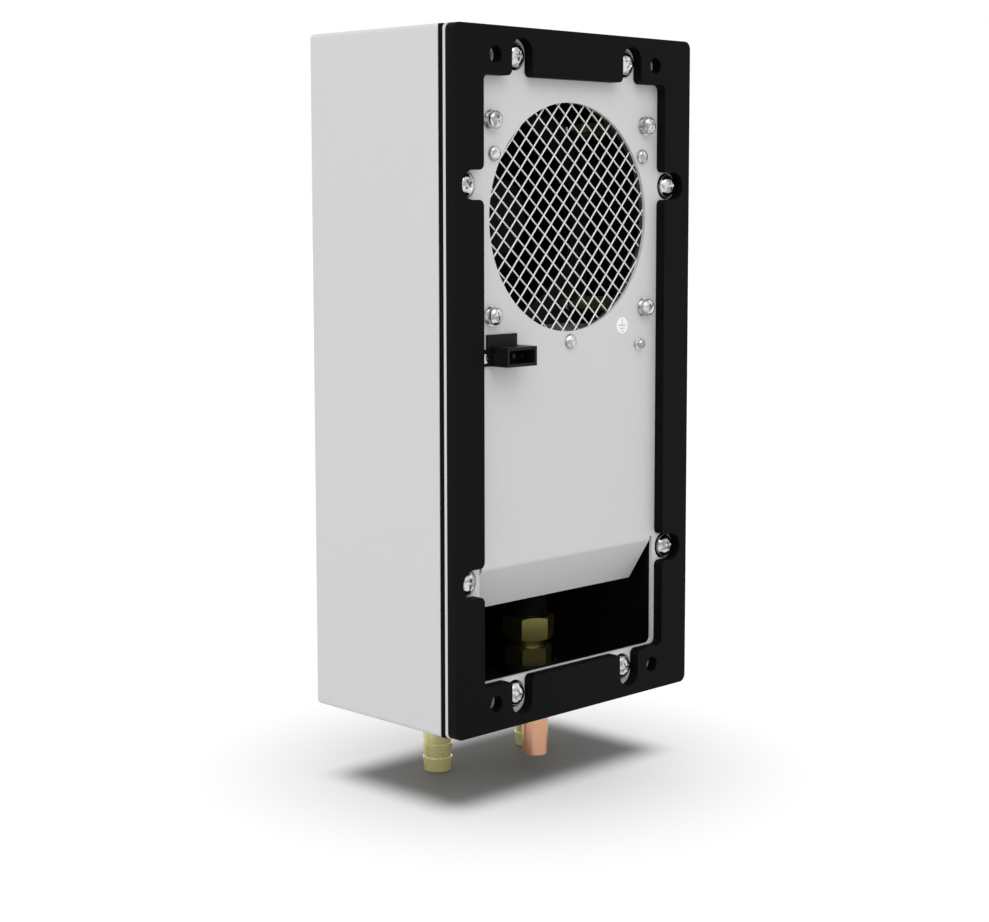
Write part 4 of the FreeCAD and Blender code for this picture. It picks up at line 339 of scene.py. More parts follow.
FINISHES = {
    "cover_paint": Finish("cover_powder_coat", (0.66, 0.665, 0.662), (0.625, 0.63, 0.628),
                          Grain.POWDER, 0.0011, 0.42, 0.12, relief=0.1),
    "plate_paint": Finish("plate_powder_coat", (0.645, 0.647, 0.647), (0.61, 0.613, 0.615),
                          Grain.POWDER, 0.0011, 0.45, 0.12, relief=0.1),
    "gasket_foam": Finish("black_gasket_foam", (0.0022, 0.0022, 0.0023), (0.0038, 0.0038, 0.004),
                          Grain.FOAM, 0.0005, 0.6, 0.2, relief=0.25, specular=0.07),
    "seal_rubber": Finish("black_seal_rubber", grey(0.0016), grey(0.003), Grain.MOULDED, 0.0009,
                          0.6, 0.15, specular=0.05),
    # The dark second tone of the fasteners and rivets is their painted reflection.
    "zinc_fastener": Finish("zinc_plate", (0.80, 0.80, 0.79), grey(0.20),
                            Grain.PAINTED_REFLECTIONS, 0.0026, 0.16, 0.1, 1.0, relief=0.25, depth=0.0002),
    "rivet_aluminium": Finish("rivet_aluminium", grey(0.84), grey(0.27), Grain.PAINTED_REFLECTIONS, 0.0028,
                              0.14, 0.08, 1.0, depth=0.0002),
    "guard_wire": Finish("guard_wire", (0.84, 0.84, 0.83), (0.64, 0.64, 0.63),
                         Grain.STREAKS, 0.003, 0.36, 0.2, 0.35),
    "galvanised_sheet": Finish("galvanised_sheet", grey(0.30), (0.20, 0.20, 0.21),
                               Grain.FOAM, 0.006, 0.42, 0.2, 0.85, relief=0.05),
    "black_sheet": Finish("black_sheet_paint", grey(0.006), grey(0.011), Grain.POWDER, 0.001,
                          0.5, 0.1),
    "brass": Finish("turned_brass", (0.76, 0.70, 0.34), (0.60, 0.53, 0.24),
                    Grain.STREAKS, 0.0018, 0.3, 0.18, 1.0, relief=0.12, stretch=(1.0, 1.0, 9.0)),
    "copper": Finish("drawn_copper", (0.78, 0.45, 0.29), (0.64, 0.34, 0.20),
                     Grain.STREAKS, 0.0016, 0.24, 0.12, 0.85, relief=0.1,
                     stretch=(6.0, 6.0, 0.6)),
    "fin_aluminium": Finish("fin_foil", grey(0.55), grey(0.42), Grain.STREAKS, 0.004,
                            0.35, 0.15, 0.9, stretch=(1.0, 1.0, 6.0)),
    "fan_plastic": Finish("fan_plastic", grey(0.003), grey(0.005), Grain.MOULDED, 0.0012,
                          0.5, 0.12, specular=0.12),
    "shaft_steel": Finish("ground_steel", grey(0.5), grey(0.42), Grain.STREAKS, 0.002,
                          0.25, 0.1, 1.0),
    "stator_iron": Finish("stator", (0.20, 0.09, 0.04), (0.10, 0.05, 0.025), Grain.STREAKS,
                          0.0012, 0.5, 0.1, 0.6),
    "sleeve_foam": Finish("pipe_and_wall_foam", grey(0.004), grey(0.008), Grain.FOAM, 0.0012,
                          0.85, 0.1, relief=0.5, specular=0.15),
    "tray_plastic": Finish("tray_plastic", grey(0.006), grey(0.010), Grain.MOULDED, 0.0015,
                           0.5, 0.12),
    "plug_plastic": Finish("plug_plastic", grey(0.006), grey(0.010), Grain.MOULDED, 0.0008,
                           0.42, 0.14, specular=0.12),
    # Tinned contacts painted near black: painted shade from deep in the socket.
    "contact_metal": Finish("contact_painted_shade", grey(0.014), grey(0.01), Grain.STREAKS, 0.001,
                            0.35, 0.1, specular=0.2),
    "label_white": Finish("label_film", grey(0.93), grey(0.89), Grain.MOULDED, 0.002, 0.35, 0.06),
}
SYMBOL_INK = Finish("symbol_ink", grey(0.5), grey(0.45), Grain.MOULDED, 0.001, 0.5, 0.05)
# Brass darkened as painted shade, for the union nuts and couplings in the shade inside the outlet.
BRASS_PAINTED_SHADE = Finish("brass_painted_shade", (0.40, 0.37, 0.13), (0.28, 0.25, 0.08), Grain.STREAKS, 0.0018,
                    0.34, 0.18, 0.9, relief=0.1, stretch=(1.0, 1.0, 7.0))
PALE_BRASS = Finish("pale_brass", (0.90, 0.84, 0.42), (0.76, 0.70, 0.33), Grain.STREAKS, 0.0018,
                    0.26, 0.12, 0.6, relief=0.08, stretch=(1.0, 1.0, 7.0))
# Brass darkened further as painted shade, for the standoffs deep inside.
BRASS_PAINTED_DEEP_SHADE = Finish("brass_painted_deep_shade", (0.26, 0.23, 0.12), (0.16, 0.14, 0.07), Grain.STREAKS, 0.0018,
                    0.4, 0.15, 0.7)
# Steel darkened as painted shade, for the fan's shaft, bearings and carrier fasteners deep inside.
STEEL_PAINTED_SHADE = Finish("steel_painted_shade", grey(0.05), grey(0.035), Grain.STREAKS, 0.002, 0.35, 0.1, 0.6)
# Galvanised sheet lightened as painted light, for the shelf that catches the light inside the
# inlet.
SHELF_SHEET_PAINTED_LIGHT = Finish("shelf_sheet", grey(0.5), grey(0.4), Grain.FOAM, 0.006, 0.42, 0.2, 0.6,
                     relief=0.05)
PALE_ZINC = Finish("pale_zinc", grey(0.70), grey(0.60), Grain.STREAKS, 0.0014, 0.4, 0.1, 0.2)
# Copies of a finish for single parts, some of them painted shade or painted light.
NODE_FINISHES = {
    "supply_union_nut": BRASS_PAINTED_SHADE, "return_union_nut": BRASS_PAINTED_SHADE,
    "supply_coupling": BRASS_PAINTED_SHADE, "return_coupling": BRASS_PAINTED_SHADE,
    "supply_hose_tail": PALE_BRASS, "return_hose_tail": PALE_BRASS,
    "mounting_inserts": PALE_ZINC, "fan_standoffs": BRASS_PAINTED_DEEP_SHADE,
    "fan_shaft": STEEL_PAINTED_SHADE, "fan_bearings": STEEL_PAINTED_SHADE,
    "carrier_screws": STEEL_PAINTED_SHADE, "carrier_washers": STEEL_PAINTED_SHADE, "intake_shelf": SHELF_SHEET_PAINTED_LIGHT,
}


class Workshop:
    """Materials, and the ways in which new pieces are made and handed over."""

    def __init__(self) -> None:
        """Build the shader groups and every finish."""
        self.surfaces = SurfaceGroups()
        self.materials = {slot: finish.build(self.surfaces) for slot, finish in FINISHES.items()}
        self.ink = SYMBOL_INK.build(self.surfaces)
        built = {finish: finish.build(self.surfaces)
                 for finish in dict.fromkeys(NODE_FINISHES.values())}
        self.special = {node: built[finish] for node, finish in NODE_FINISHES.items()}

    def dress_nodes(self) -> None:
        """Give every solid of the frame its own material, or else its slot's."""
        for entry in frame["record"]["subparts"]:
            node = frame["nodes"][entry["node"]]
            node.data.materials.clear()
            slot = self.materials[entry["material_slot"]]
            node.data.materials.append(self.special.get(entry["node"], slot))
            log.info("dressed %s as %s", entry["node"], entry["material_slot"])

    def piece(self, name: str, mesh: bpy.types.Mesh, slot: str, replaced: str | None = None,
              material: bpy.types.Material | None = None) -> None:
        """Turn a mesh into a piece that rides on the housing.

        Args:
            name: The piece's name.
            mesh: Its mesh, already in place.
            slot: The record's material slot.
            replaced: The solid that the piece stands for.
            material: A material other than the slot's own.
        """
        made = bpy.data.objects.new(name, mesh)
        bpy.context.scene.collection.objects.link(made)
        mesh.materials.clear()
        mesh.materials.append(material or self.materials[slot])
        if replaced:
            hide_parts(replaced)
        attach(made, HOUSING)
        log.info("piece %s: %d faces", name, len(mesh.polygons))


def lathe(name: str, outline: list[tuple[float, float]], steps: int = 40) -> bpy.types.Mesh:
    """Turn a half outline about the Y axis into a closed mesh.

    Args:
        name: Name of the mesh.
        outline: Radius and Y of each point, from axis to axis.
        steps: Number of steps round the axis.

    Returns:
        The mesh, faces outwards.
    """
    shape = bmesh.new()
    turns = [2 * math.pi * step / steps for step in range(steps)]
    rings = []
    for radius, level in outline:
        rings.append([shape.verts.new((radius * math.cos(turn), level, radius * math.sin(turn)))
                      for turn in (turns if radius else turns[:1])])
    for lower, upper in zip(rings, rings[1:]):
        for step in range(steps):
            after = (step + 1) % steps
            corners = [lower[step % len(lower)], lower[after % len(lower)],
                       upper[after % len(upper)], upper[step % len(upper)]]
            unique = list(dict.fromkeys(corners))
            if len(unique) > 2:
                shape.faces.new(unique)
    bmesh.ops.recalc_face_normals(shape, faces=shape.faces)
    mesh = bpy.data.meshes.new(name)
    shape.to_mesh(mesh)
    shape.free()
    return mesh


def dome(radius: float, height: float, base: float, steps: int) -> list[tuple[float, float]]:
    """Outline of a low dome on a short cylinder.

    Args:
        radius: Radius of the head.
        height: Whole height of the head.
        base: Height of the straight part.
        steps: Points on the curve.

    Returns:
        Radius and Y of each point, from the rim to the axis.
    """
    curve = []
    for step in range(steps + 1):
        turn = math.pi / 2 * step / steps
        curve.append((radius * math.cos(turn), base + (height - base) * math.sin(turn)))
    curve[-1] = (0.0, height)
    return curve


def evaluated(holder: bpy.types.Object) -> bpy.types.Mesh:
    """Apply an object's modifiers, which are removed afterwards.

    Args:
        holder: The object with its modifiers.

    Returns:
        A plain mesh of the result.
    """
    graph = bpy.context.evaluated_depsgraph_get()
    graph.update()
    mesh = bpy.data.meshes.new_from_object(holder.evaluated_get(graph))
    holder.modifiers.clear()
    return mesh


def scratch(name: str, mesh: bpy.types.Mesh) -> bpy.types.Object:
    """Put a mesh in the scene as a helper object, to be removed once it has been used.

    Args:
        name: Name of the helper.
        mesh: Its mesh.

    Returns:
        The helper object.
    """
    made = bpy.data.objects.new(name, mesh)
    bpy.context.scene.collection.objects.link(made)
    return made


def smooth(mesh: bpy.types.Mesh, angle: float = 35.0) -> bpy.types.Mesh:
    """Shade a mesh smooth, apart from its sharp edges.

    Args:
        mesh: The mesh to shade.
        angle: Degrees from which an edge stays sharp.

    Returns:
        The same mesh.
    """
    for face in mesh.polygons:
        face.use_smooth = True
    mesh.set_sharp_from_angle(angle=math.radians(angle))
    return mesh


class Tree:
    """A geometry node tree under construction."""

    def __init__(self, name: str, inputs: dict[str, tuple[str, object]]) -> None:
        """Start a tree.

        Args:
            name: Name of the tree.
            inputs: Socket type and value of each named input.
        """
        self.tree = bpy.data.node_groups.new(name, "GeometryNodeTree")
        self.values = {label: value for label, (_, value) in inputs.items()}
        self.tree.interface.new_socket(name="Geometry", in_out="INPUT",
                                       socket_type="NodeSocketGeometry")
        for label, (kind, _) in inputs.items():
            self.tree.interface.new_socket(name=label, in_out="INPUT", socket_type=kind)
        self.tree.interface.new_socket(name="Geometry", in_out="OUTPUT",
                                       socket_type="NodeSocketGeometry")
        self.given = add(self.tree, "NodeGroupInput")
        self.result = add(self.tree, "NodeGroupOutput")

    def node(self, kind: str, sockets: dict[str | int, object] | None = None,
             **values: object) -> bpy.types.Node:
        """Add a node with its sockets set to values or joined to other sockets.

        Args:
            kind: The node's type name.
            sockets: What each input gets, by name or number.
            **values: Properties of the node by name.

        Returns:
            The new node.
        """
        made = add(self.tree, kind, **values)
        for key, value in (sockets or {}).items():
            feed(self.tree, value, made.inputs[key])
        return made

    def math(self, operation: str, first: Feed, second: Feed = 0.0) -> bpy.types.NodeSocket:
        """Add a math node and return its output."""
        return math_node(self.tree, operation, first, second)

    def end(self, geometry: bpy.types.NodeSocket) -> None:
        """Close the tree with Realize Instances and Set Material.

        Args:
            geometry: The socket with the tree's result.
        """
        real = self.node("GeometryNodeRealizeInstances", {"Geometry": geometry})
        coated = self.node("GeometryNodeSetMaterial", {
            "Geometry": real.outputs[0], "Material": self.given.outputs["Finish"]})
        link(self.tree, coated.outputs[0], self.result.inputs[0])

    def grow(self, holder: bpy.types.Object) -> bpy.types.Mesh:
        """Run the tree on a helper object, which is removed afterwards.

        Args:
            holder: The object whose mesh the tree starts from.

        Returns:
            A plain mesh of the result.
        """
        modifier = holder.modifiers.new(self.tree.name, "NODES")
        modifier.node_group = self.tree
        for item in self.tree.interface.items_tree:
            if item.in_out == "INPUT" and item.name in self.values:
                modifier[item.identifier] = self.values[item.name]
        mesh = evaluated(holder)
        bpy.data.objects.remove(holder)
        return mesh


@dataclass(frozen=True)
class Screw:
    """Sizes of one kind of pan-head screw.

    Attributes:
        name: Name of the screw.
        radius: Radius of the head.
        height: Height of the head.
        shank: Radius of the shank.
        sunk: How far inside the solid's outermost point the head or its washer rests.
        collar: Thickness of the spring washer, or none.
    """

    name: str
    radius: float
    height: float
    shank: float
    sunk: float
    collar: float = 0.0

    def seat(self, outermost: float) -> float:
        """Where the head's underside lies, for a solid with that outermost point."""
        return outermost - self.sunk + self.collar


COVER_SCREW = Screw("cover_screw", 5.0 * MM, 4.4 * MM, 2.0 * MM, sunk=3.0 * MM)
CARRIER_SCREW = Screw("carrier_screw", 3.9 * MM, 3.4 * MM, 2.0 * MM, sunk=2.6 * MM,
                      collar=0.9 * MM)
PLUG_SCREW = Screw("plug_screw", 2.2 * MM, 1.6 * MM, 1.25 * MM, sunk=1.6 * MM)


@dataclass(frozen=True)
class CrossRecess:
    """The cross recess of a screw's head, given for one head and scaled to others.

    Attributes:
        head: Radius of the head that the sizes are for.
        width: Width of an arm.
        reach: Length of an arm from the middle.
        depth: Depth under the top of the head.
        taper: Size of the bottom as a share of the mouth.
        over: How far the cutter stands over the head.
    """

    head: float = 4.0 * MM
    width: float = 1.25 * MM
    reach: float = 3.0 * MM
    depth: float = 0.8 * MM
    taper: float = 0.45
    over: float = 1.0 * MM

    def cutter(self, screw: Screw) -> bpy.types.Mesh:
        """Make the cross-shaped cutter, which tapers towards its point.

        Args:
            screw: The screw whose head it cuts.

        Returns:
            The cutter's mesh.
        """
        size = screw.radius / self.head
        wide, reach = self.width * size / 2, self.reach * size
        bottom, top = screw.height - self.depth * size, screw.height + self.over
        corners = [(wide, reach), (wide, wide), (reach, wide), (reach, -wide), (wide, -wide),
                   (wide, -reach), (-wide, -reach), (-wide, -wide), (-reach, -wide),
                   (-reach, wide), (-wide, wide), (-wide, reach)]
        shape = bmesh.new()
        low = [shape.verts.new((x * self.taper, bottom, z * self.taper)) for x, z in corners]
        high = [shape.verts.new((x, top, z)) for x, z in corners]
        shape.faces.new(low)
        shape.faces.new(high)
        for index in range(len(corners)):
            after = (index + 1) % len(corners)
            shape.faces.new([low[index], low[after], high[after], high[index]])
        bmesh.ops.recalc_face_normals(shape, faces=shape.faces)
        mesh = bpy.data.meshes.new("cross")
        shape.to_mesh(mesh)
        shape.free()
        return mesh


@dataclass(frozen=True)
class Rivet:
    """Sizes of the guard's blind rivets.

    Attributes:
        radius: Radius of the head.
        height: Height of the head.
        sunk: How far inside the solid's outermost point the head rests.
        inset: How far inside the solid's box the axis lies.
        shank: Radius of the shank.
        bulge: Radius of the blind end.
        grip: Length of the shank between head and blind end.
        slope: Length of the slope from the shank to the blind end.
        rim: Radius of the head's underside as a share of the head's.
        straight: Height of the head's straight part as a share of the head's.
        points: Steps of the dome.
    """

    radius: float = 3.3 * MM
    height: float = 2.4 * MM
    sunk: float = 1.5 * MM
    inset: float = 3.2 * MM
    shank: float = 1.6 * MM
    bulge: float = 2.2 * MM
    grip: float = 2.3 * MM
    slope: float = 0.1 * MM
    rim: float = 0.96
    straight: float = 0.1
    points: int = 10


@dataclass(frozen=True)
class Stud:
    """Sizes of the welded earth stud.

    Attributes:
        radius: Radius of the stud.
        straight: Height where its rounded end starts.
        foot: Radius of its weld foot.
        foot_edge: Height of the foot at its edge.
        foot_top: Height of the foot at the stud.
        points: Steps of the rounded end.
    """

    radius: float = 2.0 * MM
    straight: float = 2.4 * MM
    foot: float = 2.7 * MM
    foot_edge: float = 0.7 * MM
    foot_top: float = 0.9 * MM
    points: int = 6


@dataclass
class Fasteners:
    """Screws, rivets and the earth stud: turned parts, copied to each place by nodes.

    Attributes:
        shop: Gives the materials and takes the pieces.
        recess: Sizes of the cross recess.
        rivet: Sizes of the rivets.
        stud: Sizes of the earth stud.
        side_z: Height of the side cover screws over and under the middle.
        end_x: Place of the end cover screws left and right of the middle.
        corner_inset: How far inside their solid's box the corner screws lie.
        rim: Radius of a head's underside as a share of the head's.
        straight: Height of a head's straight part as a share of the head's.
        collar_share: Radius of a spring washer as a share of the head's.
        head_points: Steps of a head's dome.
        seed: Seed for how far each copy is turned.
    """

    shop: Workshop
    recess: CrossRecess = CrossRecess()
    rivet: Rivet = Rivet()
    stud: Stud = Stud()
    side_z: float = 84.0 * MM
    end_x: float = 35.0 * MM
    corner_inset: float = 3.6 * MM
    rim: float = 0.97
    straight: float = 0.35
    collar_share: float = 0.9
    head_points: int = 7
    seed: int = 7

    def build(self) -> None:
        """Make every visible screw and rivet and the earth stud."""
        self.cover_screws()
        self.carrier_screws()
        self.rivets()
        self.plug_screws()
        self.earth_stud()

    def head(self, screw: Screw, length: float) -> bpy.types.Object:
        """A pan-head screw about the Y axis with a cross recess.

        Args:
            screw: The screw's sizes.
            length: Its length under the head.

        Returns:
            A helper object with the finished screw.
        """
        outline = [(0.0, -length), (screw.shank, -length), (screw.shank, -screw.collar)]
        if screw.collar:
            washer = screw.radius * self.collar_share
            outline += [(washer, -screw.collar), (washer, 0.0)]
        outline.append((screw.radius * self.rim, 0.0))
        outline += dome(screw.radius, screw.height, screw.height * self.straight,
                        self.head_points)
        made = scratch(screw.name, lathe(screw.name, outline))
        cutter = scratch(f"{screw.name}_cross", self.recess.cutter(screw))
        cut = made.modifiers.new("recess", "BOOLEAN")
        cut.object = cutter
        cut.operation = "DIFFERENCE"
        cut.solver = "EXACT"
        mesh = evaluated(made)
        bpy.data.objects.remove(cutter)
        made.data = smooth(mesh)
        return made

    def copies(self, name: str, one: bpy.types.Object, spots: list[Vector], slot: str,
               replaced: str) -> None:
        """Copy a helper object to its places with geometry nodes.

        Args:
            name: Name of the finished piece.
            one: The helper object, removed afterwards.
            spots: Where its origin goes.
            slot: Material slot of the piece.
            replaced: The solid that it stands for.
        """
        tree = Tree(f"{name}_places", {
            "Pattern": ("NodeSocketObject", one), "Seed": ("NodeSocketInt", self.seed),
            "Turn": ("NodeSocketFloat", math.pi),
            "Finish": ("NodeSocketMaterial", self.shop.materials[slot])})
        info = tree.node("GeometryNodeObjectInfo", {"Object": tree.given.outputs["Pattern"]})
        turn = tree.node("FunctionNodeRandomValue", {
            "Max": tree.given.outputs["Turn"], "Seed": tree.given.outputs["Seed"]})
        about_y = tree.node("ShaderNodeCombineXYZ", {1: turn.outputs[1]})
        copies = tree.node("GeometryNodeInstanceOnPoints", {
            "Points": tree.given.outputs["Geometry"], "Instance": info.outputs["Geometry"],
            "Rotation": about_y.outputs[0]})
        tree.end(copies.outputs[0])
        points = bpy.data.meshes.new(f"{name}_points")
        points.from_pydata(spots, [], [])
        mesh = tree.grow(scratch(f"{name}_holder", points))
        bpy.data.objects.remove(one)
        self.shop.piece(name, smooth(mesh), slot, replaced)

    def cover_screws(self) -> None:
        """The eight screws that hold the cover."""
        low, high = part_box("cover_screws")
        radius, seat = COVER_SCREW.radius, COVER_SCREW.seat(high.y)
        side = high.x - radius
        spots = [Vector((i * side, seat, j * self.side_z)) for i in (1, -1) for j in (1, -1)]
        spots += [Vector((i * self.end_x, seat, z)) for i in (1, -1)
                  for z in (high.z - radius, low.z + radius)]
        one = self.head(COVER_SCREW, seat - low.y)
        self.copies("cover_screw_set", one, spots, "zinc_fastener", "cover_screws")

    def carrier_screws(self) -> None:
        """The four screws with spring washers at the corners of the air inlet."""
        low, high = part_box("fan_carrier_screws")
        inset, seat = self.corner_inset, CARRIER_SCREW.seat(high.y)
        spots = [Vector((x, seat, z)) for x in (low.x + inset, high.x - inset)
                 for z in (low.z + inset, high.z - inset)]
        one = self.head(CARRIER_SCREW, seat - low.y)
        self.copies("fan_carrier_screws_set", one, spots, "zinc_fastener", "fan_carrier_screws")

    def rivets(self) -> None:
        """The three blind rivets with domed heads."""
        low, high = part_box("guard_rivets")
        rivet = self.rivet
        seat = high.y - rivet.sunk
        outline = [(0.0, low.y - seat), (rivet.bulge, low.y - seat),
                   (rivet.bulge, -rivet.grip - rivet.slope), (rivet.shank, -rivet.grip),
                   (rivet.shank, 0.0), (rivet.radius * rivet.rim, 0.0)]
        outline += dome(rivet.radius, rivet.height, rivet.height * rivet.straight, rivet.points)
        one = scratch("rivet", smooth(lathe("rivet", outline)))
        side, top = high.x - rivet.inset, high.z - rivet.inset
        spots = [Vector((side, seat, top)), Vector((-side, seat, top)),
                 Vector((0.0, seat, low.z + rivet.inset))]
        self.copies("guard_rivet_set", one, spots, "rivet_aluminium", "guard_rivets")

    def plug_screws(self) -> None:
        """The two small screws beside the plug socket."""
        low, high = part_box("plug_screws")
        radius, seat = PLUG_SCREW.radius, PLUG_SCREW.seat(high.y)
        spots = [Vector((x, seat, (low.z + high.z) / 2)) for x in (low.x + radius, high.x - radius)]
        one = self.head(PLUG_SCREW, seat - low.y)
        self.copies("plug_screw_set", one, spots, "zinc_fastener", "plug_screws")

    def earth_stud(self) -> None:
        """The welded stud for the earth lead, on its small foot."""
        low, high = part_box("earth_stud")
        stud = self.stud
        outline = [(0.0, 0.0), (stud.foot, 0.0), (stud.foot, stud.foot_edge),
                   (stud.radius, stud.foot_top)]
        outline += dome(stud.radius, high.y - low.y, stud.straight, stud.points)
        mesh = lathe("earth_stud_turned", outline)
        mesh.transform(Matrix.Translation(((low.x + high.x) / 2, low.y, (low.z + high.z) / 2)))
        self.shop.piece("earth_stud_turned", smooth(mesh), "zinc_fastener", "earth_stud")


@dataclass
class InletGuard:
    """The welded wire mesh behind the round air inlet.

    Attributes:
        shop: Gives the materials and takes the piece.
        centre_z: Height of the inlet's middle.
        pitch: Distance from wire to wire.
        slope: Degrees by which the first family leans.
        shift: How far the second family is shifted across its wires.
        wire: Diameter of a wire.
        press: How far crossing wires are pressed into each other.
        sides: Sides of a wire's section.
        crease: Degrees from which an edge stays sharp.
    """

    shop: Workshop
    centre_z: float = 70.0 * MM
    pitch: float = 6.0 * MM
    slope: float = 40.6
    shift: float = 2.56 * MM
    wire: float = 0.75 * MM
    press: float = 0.1 * MM
    sides: int = 12
    crease: float = 50.0

    def build(self) -> None:
        """Grow both families of wires and join them into one piece."""
        low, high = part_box("guard_mesh")
        radius = (high.x - low.x) / 2
        shape = bmesh.new()
        for layer, (slope, shift) in enumerate(((self.slope, 0.0),
                                                (self.slope + 90.0, -self.shift))):
            level = high.y - self.wire / 2 - layer * (self.wire - self.press)
            mesh = self.family(f"guard_wires_{layer + 1}", radius, shift)
            lay = Matrix.Translation((0.0, level, self.centre_z))
            lay @= Matrix.Rotation(-math.radians(slope), 4, "Y")
            lay @= Matrix.Rotation(math.pi / 2, 4, "X")
            mesh.transform(lay)
            shape.from_mesh(mesh)
        mesh = bpy.data.meshes.new("guard_wire_mesh")
        shape.to_mesh(mesh)
        shape.free()
        self.shop.piece("guard_wire_mesh", smooth(mesh, self.crease), "guard_wire", "guard_mesh")

    def family(self, name: str, radius: float, shift: float) -> bpy.types.Mesh:
        """Parallel wires inside a circle, along Y in the XY plane.

        Args:
            name: Name of the node tree.
            radius: Radius of the circle.
            shift: Place of the middle wire along X.

        Returns:
            The plain mesh of all wires.
        """
        reach = int(radius / self.pitch) + 1
        first = shift - reach * self.pitch
        tree = Tree(name, {
            "Radius": ("NodeSocketFloat", radius), "Pitch": ("NodeSocketFloat", self.pitch),
            "Wire": ("NodeSocketFloat", self.wire), "First": ("NodeSocketFloat", first),
            "Count": ("NodeSocketInt", 2 * reach + 1), "Sides": ("NodeSocketInt", self.sides),
            "Finish": ("NodeSocketMaterial", self.shop.materials["guard_wire"])})
        given = tree.given.outputs
        start = tree.node("ShaderNodeCombineXYZ", {0: given["First"]})
        stride = tree.node("ShaderNodeCombineXYZ", {0: given["Pitch"]})
        row = tree.node("GeometryNodeMeshLine", {
            "Count": given["Count"], "Start Location": start.outputs[0],
            "Offset": stride.outputs[0]}, mode="OFFSET")
        spot = tree.node("GeometryNodeInputPosition")
        across = tree.node("ShaderNodeSeparateXYZ", {0: spot.outputs[0]})
        edge = tree.math("ADD", tree.math("ABSOLUTE", across.outputs[0]),
                         tree.math("MULTIPLY", given["Wire"], 0.5))
        inside = tree.math("SUBTRACT", tree.math("POWER", given["Radius"], 2.0),
                           tree.math("POWER", edge, 2.0))
        half = tree.math("SQRT", tree.math("MAXIMUM", inside, 0.0))
        outside = tree.node("FunctionNodeCompare", {0: inside, 1: 0.0}, data_type="FLOAT",
                            operation="LESS_THAN")
        trimmed = tree.node("GeometryNodeDeleteGeometry", {
            "Geometry": row.outputs[0], "Selection": outside.outputs[0]})
        stick = tree.node("GeometryNodeCurvePrimitiveLine", {
            "Start": (0.0, -1.0, 0.0), "End": (0.0, 1.0, 0.0)})
        section = tree.node("GeometryNodeCurvePrimitiveCircle", {
            "Resolution": given["Sides"], "Radius": tree.math("MULTIPLY", given["Wire"], 0.5)})
        rod = tree.node("GeometryNodeCurveToMesh", {
            "Curve": stick.outputs[0], "Profile Curve": section.outputs[0], "Fill Caps": True})
        size = tree.node("ShaderNodeCombineXYZ", {0: 1.0, 1: half, 2: 1.0})
        wires = tree.node("GeometryNodeInstanceOnPoints", {
            "Points": trimmed.outputs[0], "Instance": rod.outputs[0], "Scale": size.outputs[0]})
        tree.end(wires.outputs[0])
        return tree.grow(scratch(f"{name}_holder", bpy.data.meshes.new(name)))


@dataclass
class EarthMark:
    """The generic earth symbol on the round label.

    Attributes:
        shop: Gives the ink and takes the piece.
        line: Width of the lines.
        proud: How far the symbol stands over the label.
        sunk: How far it reaches into the label.
        bars: Height over the label's middle and width of each cross bar.
        stem_top: Height of the stem's upper end over the label's middle.
    """

    shop: Workshop
    line: float = 0.36 * MM
    proud: float = 0.06 * MM
    sunk: float = 0.03 * MM
    bars: tuple[tuple[float, float], ...] = (
        (0.1 * MM, 5.0 * MM), (-1.25 * MM, 3.4 * MM), (-2.6 * MM, 1.8 * MM))
    stem_top: float = 3.2 * MM

    def build(self) -> None:
        """Lay the stem and the three bars on the label."""
        low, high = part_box("earth_label")
        middle = Vector(((low.x + high.x) / 2, high.y, (low.z + high.z) / 2))
        shape = bmesh.new()
        first = self.bars[0][0]
        self.bar(shape, middle, (self.stem_top + first) / 2, self.line, self.stem_top - first)
        for level, width in self.bars:
            self.bar(shape, middle, level, width, self.line)
        mesh = bpy.data.meshes.new("earth_symbol")
        shape.to_mesh(mesh)
        shape.free()
        self.shop.piece("earth_symbol", mesh, "label_white", material=self.shop.ink)

    def bar(self, shape: bmesh.types.BMesh, middle: Vector, level: float, width: float,
            height: float) -> None:
        """Add one flat bar to the symbol.

        Args:
            shape: The symbol's mesh under construction.
            middle: Middle of the label's face.
            level: Height of the bar's middle over the label's middle.
            width: Size across.
            height: Size upwards.
        """
        made = bmesh.ops.create_cube(shape, size=1.0)["verts"]
        bmesh.ops.scale(shape, vec=(width, self.proud + self.sunk, height), verts=made)
        shift = middle + Vector((0.0, (self.proud - self.sunk) / 2, level))
        bmesh.ops.translate(shape, vec=shift, verts=made)


@dataclass(frozen=True)
class Softbox:
    """One large soft lamp that faces the object."""

    name: str
    spot: tuple[float, float, float]
    power: float
    size: tuple[float, float] = (1.3, 1.1)

    def build(self) -> None:
        """Add the lamp to the scene."""
        data = bpy.data.lights.new(self.name, "AREA")
        data.shape = "RECTANGLE"
        data.size, data.size_y = self.size
        data.energy = self.power
        made = bpy.data.objects.new(self.name, data)
        made.location = self.spot
        made.rotation_euler = Vector(self.spot).to_track_quat("Z", "Y").to_euler()
        bpy.context.scene.collection.objects.link(made)


